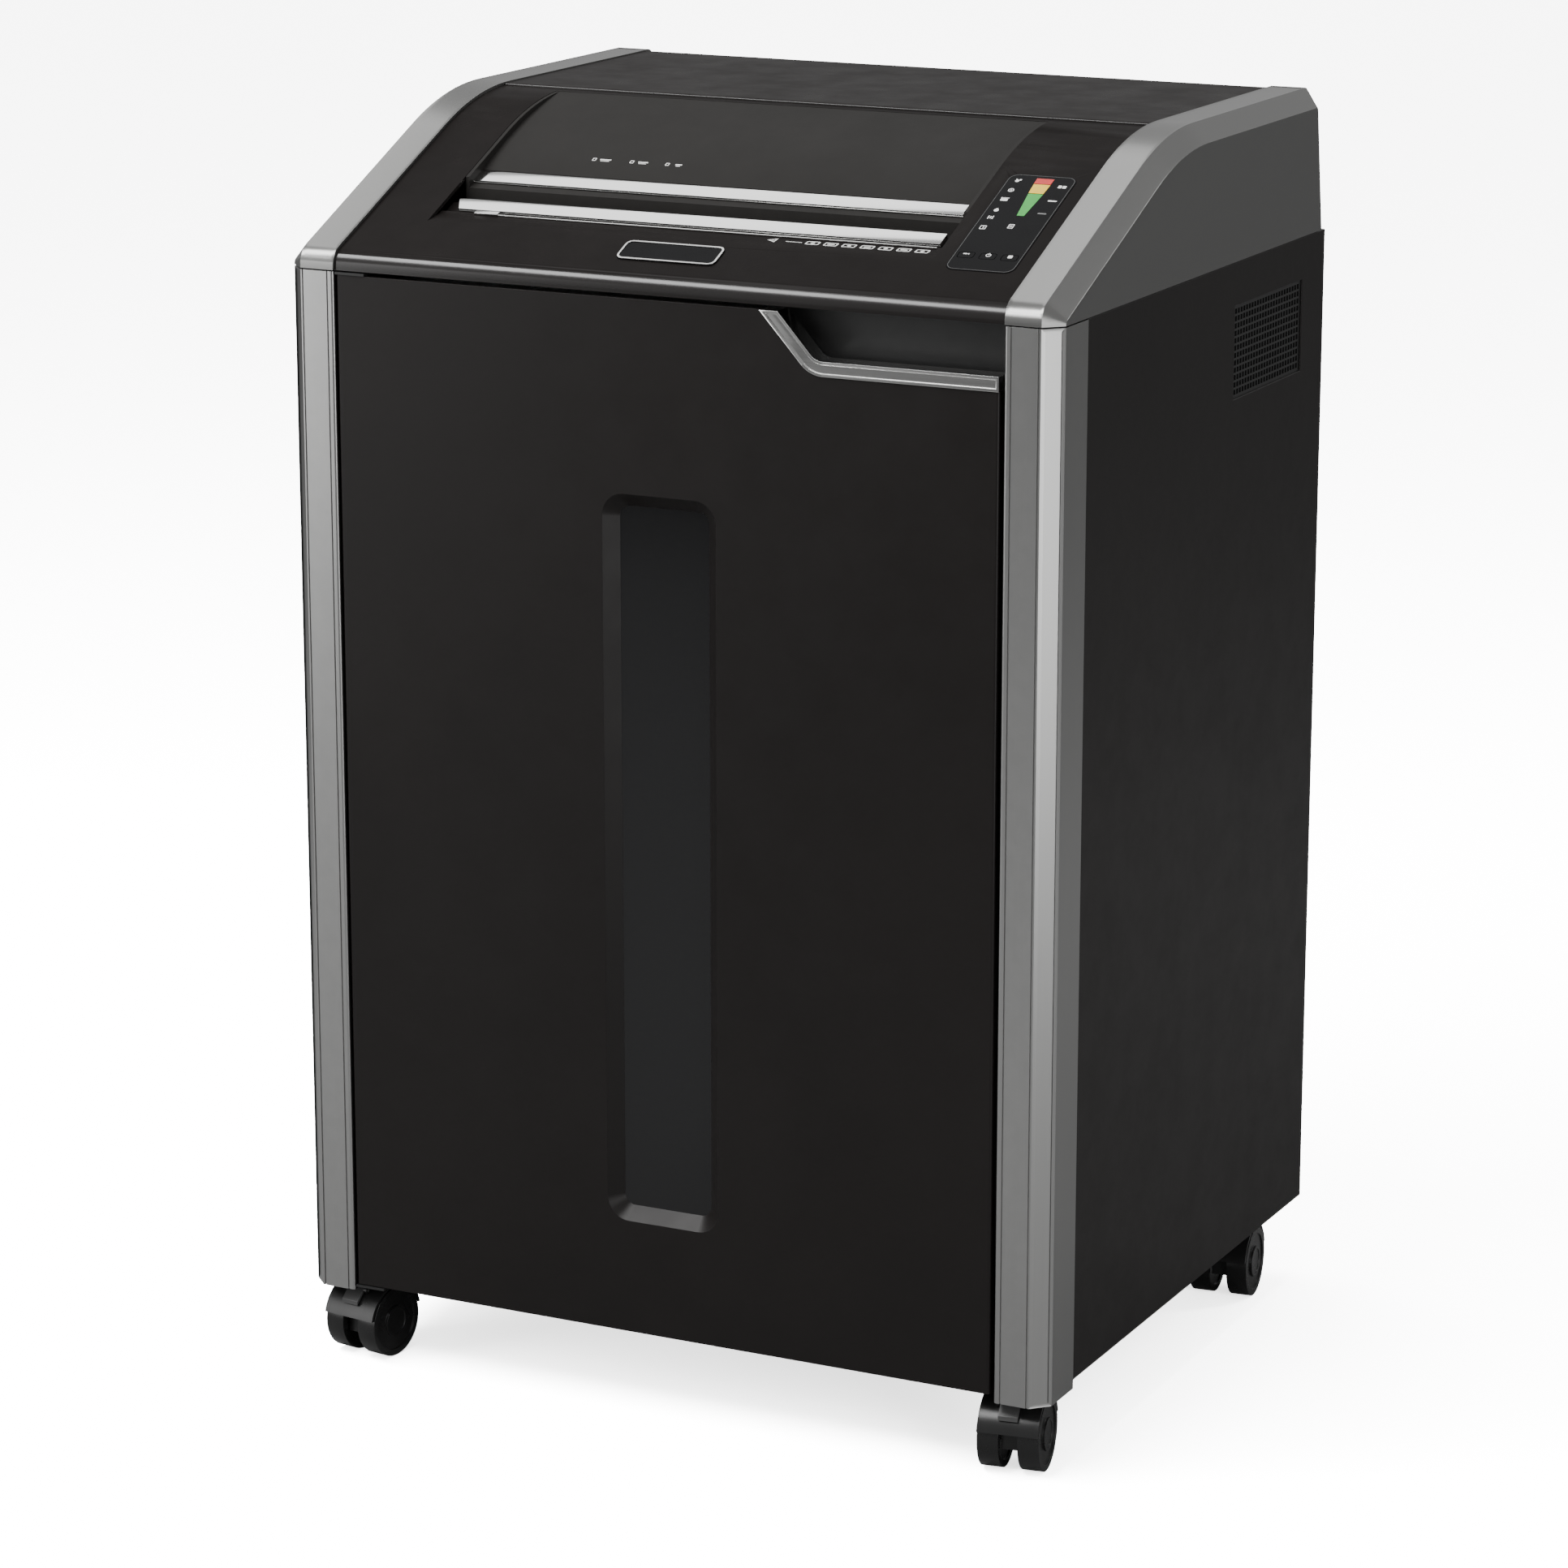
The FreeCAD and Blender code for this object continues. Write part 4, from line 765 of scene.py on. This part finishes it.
def print_marks(name, shapes, finish, body, slot, base, thick=0.00012, steep=SLOPE):
    """Join flat shapes, raise them by a film's thickness and lay them on the slope at base."""
    piece = join(name, shapes)
    bpy.ops.object.mode_set(mode="EDIT")
    bpy.ops.mesh.select_all(action="SELECT")
    sink((0, 0, thick))
    done()
    outward(piece)
    settle(piece, base, (steep, 0, 0))
    return dress(piece, finish, body, slot)


def sheet_icon(u, s):
    return [plate(u, s, 4.6, 6.0, 0.6, 0.7), plate(u, s + 0.9, 2.0, 0.6), plate(u, s - 0.7, 2.0, 0.6)]


def door_icon(u, s):
    return [plate(u, s, 5.2, 5.2, 0.6, 0.7), plate(u + 0.4, s, 0.7, 3.0)]


def bin_icon(u, s):
    return [plate(u, s - 0.5, 6.0, 3.6, 0.8), plate(u, s + 2.1, 7.0, 0.8, 0.3)]


def spark_icon(u, s):
    return [disc(u - 0.6, s - 0.4, 1.7), disc(u + 1.6, s + 1.4, 1.0), disc(u - 1.6, s + 1.8, 0.7)]


def motor_icon(u, s):
    return [disc(u, s, 2.5, 0.8), disc(u, s, 0.8)]


def oil_icon(u, s):
    return [disc(u, s - 0.5, 2.0), disc(u, s + 1.5, 1.3, sides=3)]


def wave_icon(u, s):
    return [plate(u - 1.8, s, 0.9, 4.4, 0.3), plate(u, s, 0.9, 3.2, 0.3), plate(u + 1.8, s, 0.9, 4.4, 0.3)]


def dash_icon(u, s):
    return [plate(u, s, 7.4, 1.7, 0.7)]


def stack_icon(u, s):
    return [plate(u - 1.9, s, 3.0, 3.6, 0.5), plate(u + 1.9, s, 3.0, 3.6, 0.5)]


def gauge_step(name, finish, low, high, half_low, half_high, middle):
    """One lit step of the load gauge, wider at its upper end."""
    step = plate(middle, (low + high) / 2, 2 * half_high, high - low)
    centre = Vector((middle * MM, low * MM, 0))
    pick_points(step, lambda p: p.y < (low + high) / 2 * MM)
    bpy.ops.transform.resize(value=(half_low / half_high, 1, 1), center_override=centre)
    done()
    print_marks(name, [step], finish, "cabinet", "panel_film", PANEL, 0.00016)


def print_panel():
    width = (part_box("control_panel")[1][0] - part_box("control_panel")[0][0]) / MM
    length = slope_sizes("control_panel")[0] / MM
    # the lighter outline ring is printed, and it also serves as a painted highlight along the panel's rolled edge
    outline = plate(width / 2, length / 2, width - 1.6, length - 1.6, 7.2, 0.45)
    print_marks("panel_outline", [outline], "line_ink_and_painted_highlight", "cabinet", "panel_film", PANEL)
    white = []
    for icon, u, s in ((spark_icon, 9.6, 128.5), (motor_icon, 9.4, 114.5), (bin_icon, 9.2, 101.0),
                       (oil_icon, 9.0, 85.5), (wave_icon, 8.6, 74.5), (door_icon, 8.2, 60.0),
                       (stack_icon, 48.6, 123.5), (dash_icon, 48.6, 103.0), (sheet_icon, 30.0, 64.0)):
        white += icon(u, s)
    # the white icons, and the key marks below, carry a painted glow from their finish
    print_marks("panel_icons", white, "white_ink_painted_glow", "cabinet", "panel_film", PANEL)
    print_marks("panel_icon_dim", dash_icon(47.4, 84.5), "dim_ink", "cabinet", "panel_film", PANEL)
    gauge_step("gauge_full", "red_ink", 125.8, 133.4, 7.0, 7.2, 31.0)
    gauge_step("gauge_high", "yellow_ink", 112.0, 125.0, 6.2, 7.0, 31.2)
    gauge_step("gauge_normal", "green_ink", 79.5, 111.2, 3.0, 6.2, 31.4)
    marks = {
        "key_reverse": [plate(-1.2, 0, 3.4, 1.4, 0.6), disc(1.6, 0, 1.2, sides=3)],
        "key_power": [disc(0, 0, 2.2, 0.6), plate(0, 1.5, 0.7, 2.6, 0.3)],
        "key_forward": [plate(0, 0, 3.8, 3.8, 0.8)],
    }
    for key, shapes in marks.items():
        low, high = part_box(key)
        top, steep = surface_at(key, (low[0] + high[0]) / 2, (low[1] + high[1]) / 2)
        print_marks(key + "_mark", shapes, "white_ink_painted_glow", key, "key_film", top, steep=steep)


def print_cover():
    """Rows of small generic marks in front of the throat and above it."""
    # both rows are printed marks, and their finish adds a painted glow
    shapes = [disc(0, 0, 5.0, 1.1, 3), plate(0, -0.6, 0.8, 2.4), plate(18, -0.6, 14, 0.8)]
    for i in range(7):
        u = 34 + 15.5 * i
        shapes.append(plate(u, 0, 11.5, 7.0, 1.4, 1.1))
        shapes.append(plate(u, 0, 6.0, 1.8, 0.6) if i % 2 else disc(u, 0, 1.7))
    place, steep = surface_at("front_cover", 0.064, -0.2115)
    print_marks("safety_marks", shapes, "cover_ink_painted_glow", "cabinet", "black_cover", place, steep=steep)
    shapes = []
    for u, width in ((8, 14.0), (42, 13.0), (74, 10.0)):
        shapes += [plate(u - 6, 0, 3.4, 3.8, 0.5, 0.7), plate(u + 4, 0.4, width - 4, 1.4, 0.5),
                   plate(u + 4, -1.6, width - 6, 0.7, 0.3)]
    place, steep = surface_at("entry_ramp", -0.144, -0.1195)
    print_marks("entry_marks", shapes, "cover_ink_painted_glow", "cabinet", "ramp_plastic", place, steep=steep)


# ---- trims and bars -------------------------------------------------------------------------------
LIP_TOP = 0.40
GROOVE_LOW = 0.62
GROOVE_HIGH = 0.76
GROOVE_DEPTH = 0.0012
BACK_SHARE = 0.86
LINE_GAP = 0.0062
LINE_DROP = 0.0051
CLIP_START = 0.024
CLIP_END = 0.045
LIP_WIDTH = 0.0026
CHANNEL_DEPTH = 0.0010
RIM_HEIGHT = 0.0007


def throat_bar(name, node, slot, first=0.0, slant=0.0):
    """A polished bar of the throat: a flat top, a dark groove under its front edge and a rounded lip."""
    low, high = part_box(node)
    width, height = slope_sizes(node)
    bar = block(name, (low[0] + first, 0, 0), (high[0], width, height))
    for level in (LIP_TOP, GROOVE_LOW, GROOVE_HIGH):
        cut_plane(bar, (0, 0, height * level), (0, 0, 1))
    pick(bar, lambda c, n: n.y < -0.9 and height * GROOVE_LOW < c.z < height * GROOVE_HIGH)
    sink((0, GROOVE_DEPTH, 0))
    done()
    cut_plane(bar, (0, width * BACK_SHARE, 0), (0, 1, 0))
    if slant:
        pick_points(bar, lambda p: p.x < low[0] + first + 1e-4 and p.y < width / 2)
        bpy.ops.transform.translate(value=(slant, 0, 0))
        done()
    outward(bar)
    soften(bar, 0.0006, 3, 25)
    base = slope_top(node)
    corner = Vector((0, base.y, base.z)) - FACE_UP * height
    settle(bar, corner, (SLOPE, 0, 0))
    return dress(bar, "bar", "cabinet", slot, node)


def entry_edge():
    """The thin bright line in front of the lower bar, and the clip at its left end."""
    low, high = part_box("throat_bar_lower")
    base = on_cover(0, low[1] - LINE_GAP, LINE_DROP)
    start = low[0] + CLIP_START
    line = block("entry_edge_line", (start, 0, 0), (high[0], 0.0016, 0.0010))
    clip = block("entry_edge_clip", (start, -0.0006, 0), (low[0] + CLIP_END, 0.0042, 0.0018))
    for piece in (line, clip):
        soften(piece, 0.0004)
    edge = join("entry_edge", [line, clip])
    settle(edge, (0, base.y, base.z), (SLOPE, 0, 0))
    dress(edge, "trim", "cabinet", SLOT_OF["throat_bar_lower"])


def door_trim():
    """The bright strip under the hand-hold, with a channel between two raised lips."""
    trim = rolled_copy("door_trim", "door_trim_channel")
    front = min(v.co.y for v in trim.data.vertices)
    pick(trim, lambda c, n: n.y < -0.95 and c.y < front + 1e-4)
    bpy.ops.mesh.inset(thickness=LIP_WIDTH, use_even_offset=True)
    sink((0, CHANNEL_DEPTH, 0))
    done()
    soften(trim, 0.0005, 2, 25)
    dress(trim, "trim", "door", SLOT_OF["door_trim"], "door_trim")


def badge():
    """The plain badge: a black plate with a raised bright rim and no lettering."""
    low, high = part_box("badge_plate")
    width = (high[0] - low[0]) / MM
    length = slope_sizes("badge_plate")[0] / MM
    rim = plate(width / 2, length / 2, width, length, 6.0, 1.9)
    bpy.ops.object.mode_set(mode="EDIT")
    bpy.ops.mesh.select_all(action="SELECT")
    sink((0, 0, RIM_HEIGHT))
    done()
    outward(rim)
    soften(rim, 0.0003)
    rim = join("badge_rim", [rim])
    settle(rim, BADGE, (SLOPE, 0, 0))
    dress(rim, "trim", "cabinet", SLOT_OF["badge_plate"])


# ---- casters --------------------------------------------------------------------------------------
# each step of a wheel's outer face: its width as a share of the radius, then its rise
WHEEL_STEPS = ((0.16, 0), (0.03, -0.0012), (0.36, 0.0018), (0.08, -0.0006))
INNER_RIM = 0.2
INNER_DEPTH = 0.0014
WHEEL_GAP_HALF = 0.0078
AXLE_RADIUS = 0.0039
AXLE_BITE = 0.006


def wheel_disc(radius, width):
    """One wheel with its axis along Z and its outer face up: tread shoulders, rim, web, hub and cap."""
    bpy.ops.object.select_all(action="DESELECT")
    bpy.ops.mesh.primitive_cylinder_add(vertices=72, radius=radius, depth=width, location=(0, 0, width / 2))
    bpy.ops.object.transform_apply(location=True, rotation=True, scale=True)
    wheel = name_new("wheel_disc")
    pick(wheel, lambda c, n: n.z > 0.9)
    for share, step in WHEEL_STEPS:
        bpy.ops.mesh.inset(thickness=radius * share)
        if step:
            sink((0, 0, step))
    done()
    pick(wheel, lambda c, n: n.z < -0.9)
    bpy.ops.mesh.inset(thickness=radius * INNER_RIM)
    sink((0, 0, INNER_DEPTH))
    done()
    outward(wheel)
    soften(wheel, 0.0016, 4, 40)
    return wheel


def twin_wheels(place):
    """Two wheels and their axle, where the caster's joint turns them."""
    node = "caster_wheels_" + place
    low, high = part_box(node)
    joint = next(j for j in frame["joints"] if j["name"] == "wheels_" + place)
    axis = Vector(joint["axis"]).normalized()
    centre = Vector(joint["pos_m"])
    radius = (high[2] - low[2]) / 2
    turn = math.atan2(axis.y, axis.x)
    half = ((high[0] - low[0]) / 2 - radius * abs(math.sin(turn))) / math.cos(turn)
    right = wheel_disc(radius, half - WHEEL_GAP_HALF)
    left = right.copy()
    left.data = right.data.copy()
    bpy.context.scene.collection.objects.link(left)
    settle(right, (WHEEL_GAP_HALF, 0, 0), (0, math.radians(90), 0))
    settle(left, (-WHEEL_GAP_HALF, 0, 0), (0, math.radians(-90), 0))
    bpy.ops.object.select_all(action="DESELECT")
    bpy.ops.mesh.primitive_cylinder_add(vertices=24, radius=AXLE_RADIUS,
                                        depth=2 * WHEEL_GAP_HALF + AXLE_BITE,
                                        rotation=(0, math.radians(90), 0))
    bpy.ops.object.transform_apply(location=True, rotation=True, scale=True)
    axle = name_new("axle")
    wheels = join("twin_wheels_" + place, [right, left, axle])
    settle(wheels, centre, (0, 0, turn))
    smooth(wheels, 35)
    return dress(wheels, "tread", "wheels_" + place, SLOT_OF[node], node)


# ---- screws ---------------------------------------------------------------------------------------
HEAD_RADIUS = 0.0042
HEAD_HEIGHT = 0.0015
SLOT_HALF = 0.00055
SLOT_REACH = 0.0024
SLOT_DEPTH = 0.0009
SCREW_SHARES = (0.0, 0.29 / 0.88, 0.59 / 0.88, 1.0)
SCREW_TURN = math.radians(37)


def cross_screw():
    """A flat screw head with a cross recess, its axis along Y and its face towards +Y."""
    bpy.ops.object.select_all(action="DESELECT")
    bpy.ops.mesh.primitive_cylinder_add(vertices=32, radius=HEAD_RADIUS, depth=HEAD_HEIGHT,
                                        location=(0, 0, HEAD_HEIGHT / 2))
    bpy.ops.object.transform_apply(location=True, rotation=True, scale=True)
    head = name_new("screw_head")
    for distance in (SLOT_HALF, SLOT_REACH):
        for axis in ((1, 0, 0), (0, 1, 0)):
            for side in (-1, 1):
                cut_plane(head, Vector(axis) * side * distance, axis)
    pick(head, lambda c, n: n.z > 0.9 and min(abs(c.x), abs(c.y)) < SLOT_HALF - 5e-5
         and max(abs(c.x), abs(c.y)) < SLOT_REACH - 1e-4)
    sink((0, 0, -SLOT_DEPTH))
    done()
    outward(head)
    smooth(head, 30)
    return settle(head, (0, 0, 0), (math.radians(-90), 0, 0))


def rear_screws():
    low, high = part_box("rear_screws")
    span = high[2] - low[2] - 2 * HEAD_RADIUS
    pattern = cross_screw()
    heads = []
    for x in (low[0] + HEAD_RADIUS, high[0] - HEAD_RADIUS):
        for share in SCREW_SHARES:
            head = pattern.copy()
            head.data = pattern.data.copy()
            bpy.context.scene.collection.objects.link(head)
            place = (x, high[1] - HEAD_HEIGHT, low[2] + HEAD_RADIUS + span * share)
            heads.append(settle(head, place, (0, SCREW_TURN * len(heads), 0)))
    bpy.data.objects.remove(pattern)
    screws = join("rear_screw_heads", heads)
    dress(screws, "zinc", "cabinet", SLOT_OF["rear_screws"], "rear_screws")


def build_pieces():
    throat_bar("throat_bar_upper_profile", "throat_bar_upper", SLOT_OF["throat_bar_upper"])
    throat_bar("throat_bar_lower_profile", "throat_bar_lower", SLOT_OF["throat_bar_lower"], slant=0.006)
    entry_edge()
    door_trim()
    badge()
    print_panel()
    print_cover()
    for place in CASTERS:
        twin_wheels(place)
    rear_screws()


place_camera()
build_studio()
finish_nodes()
build_pieces()
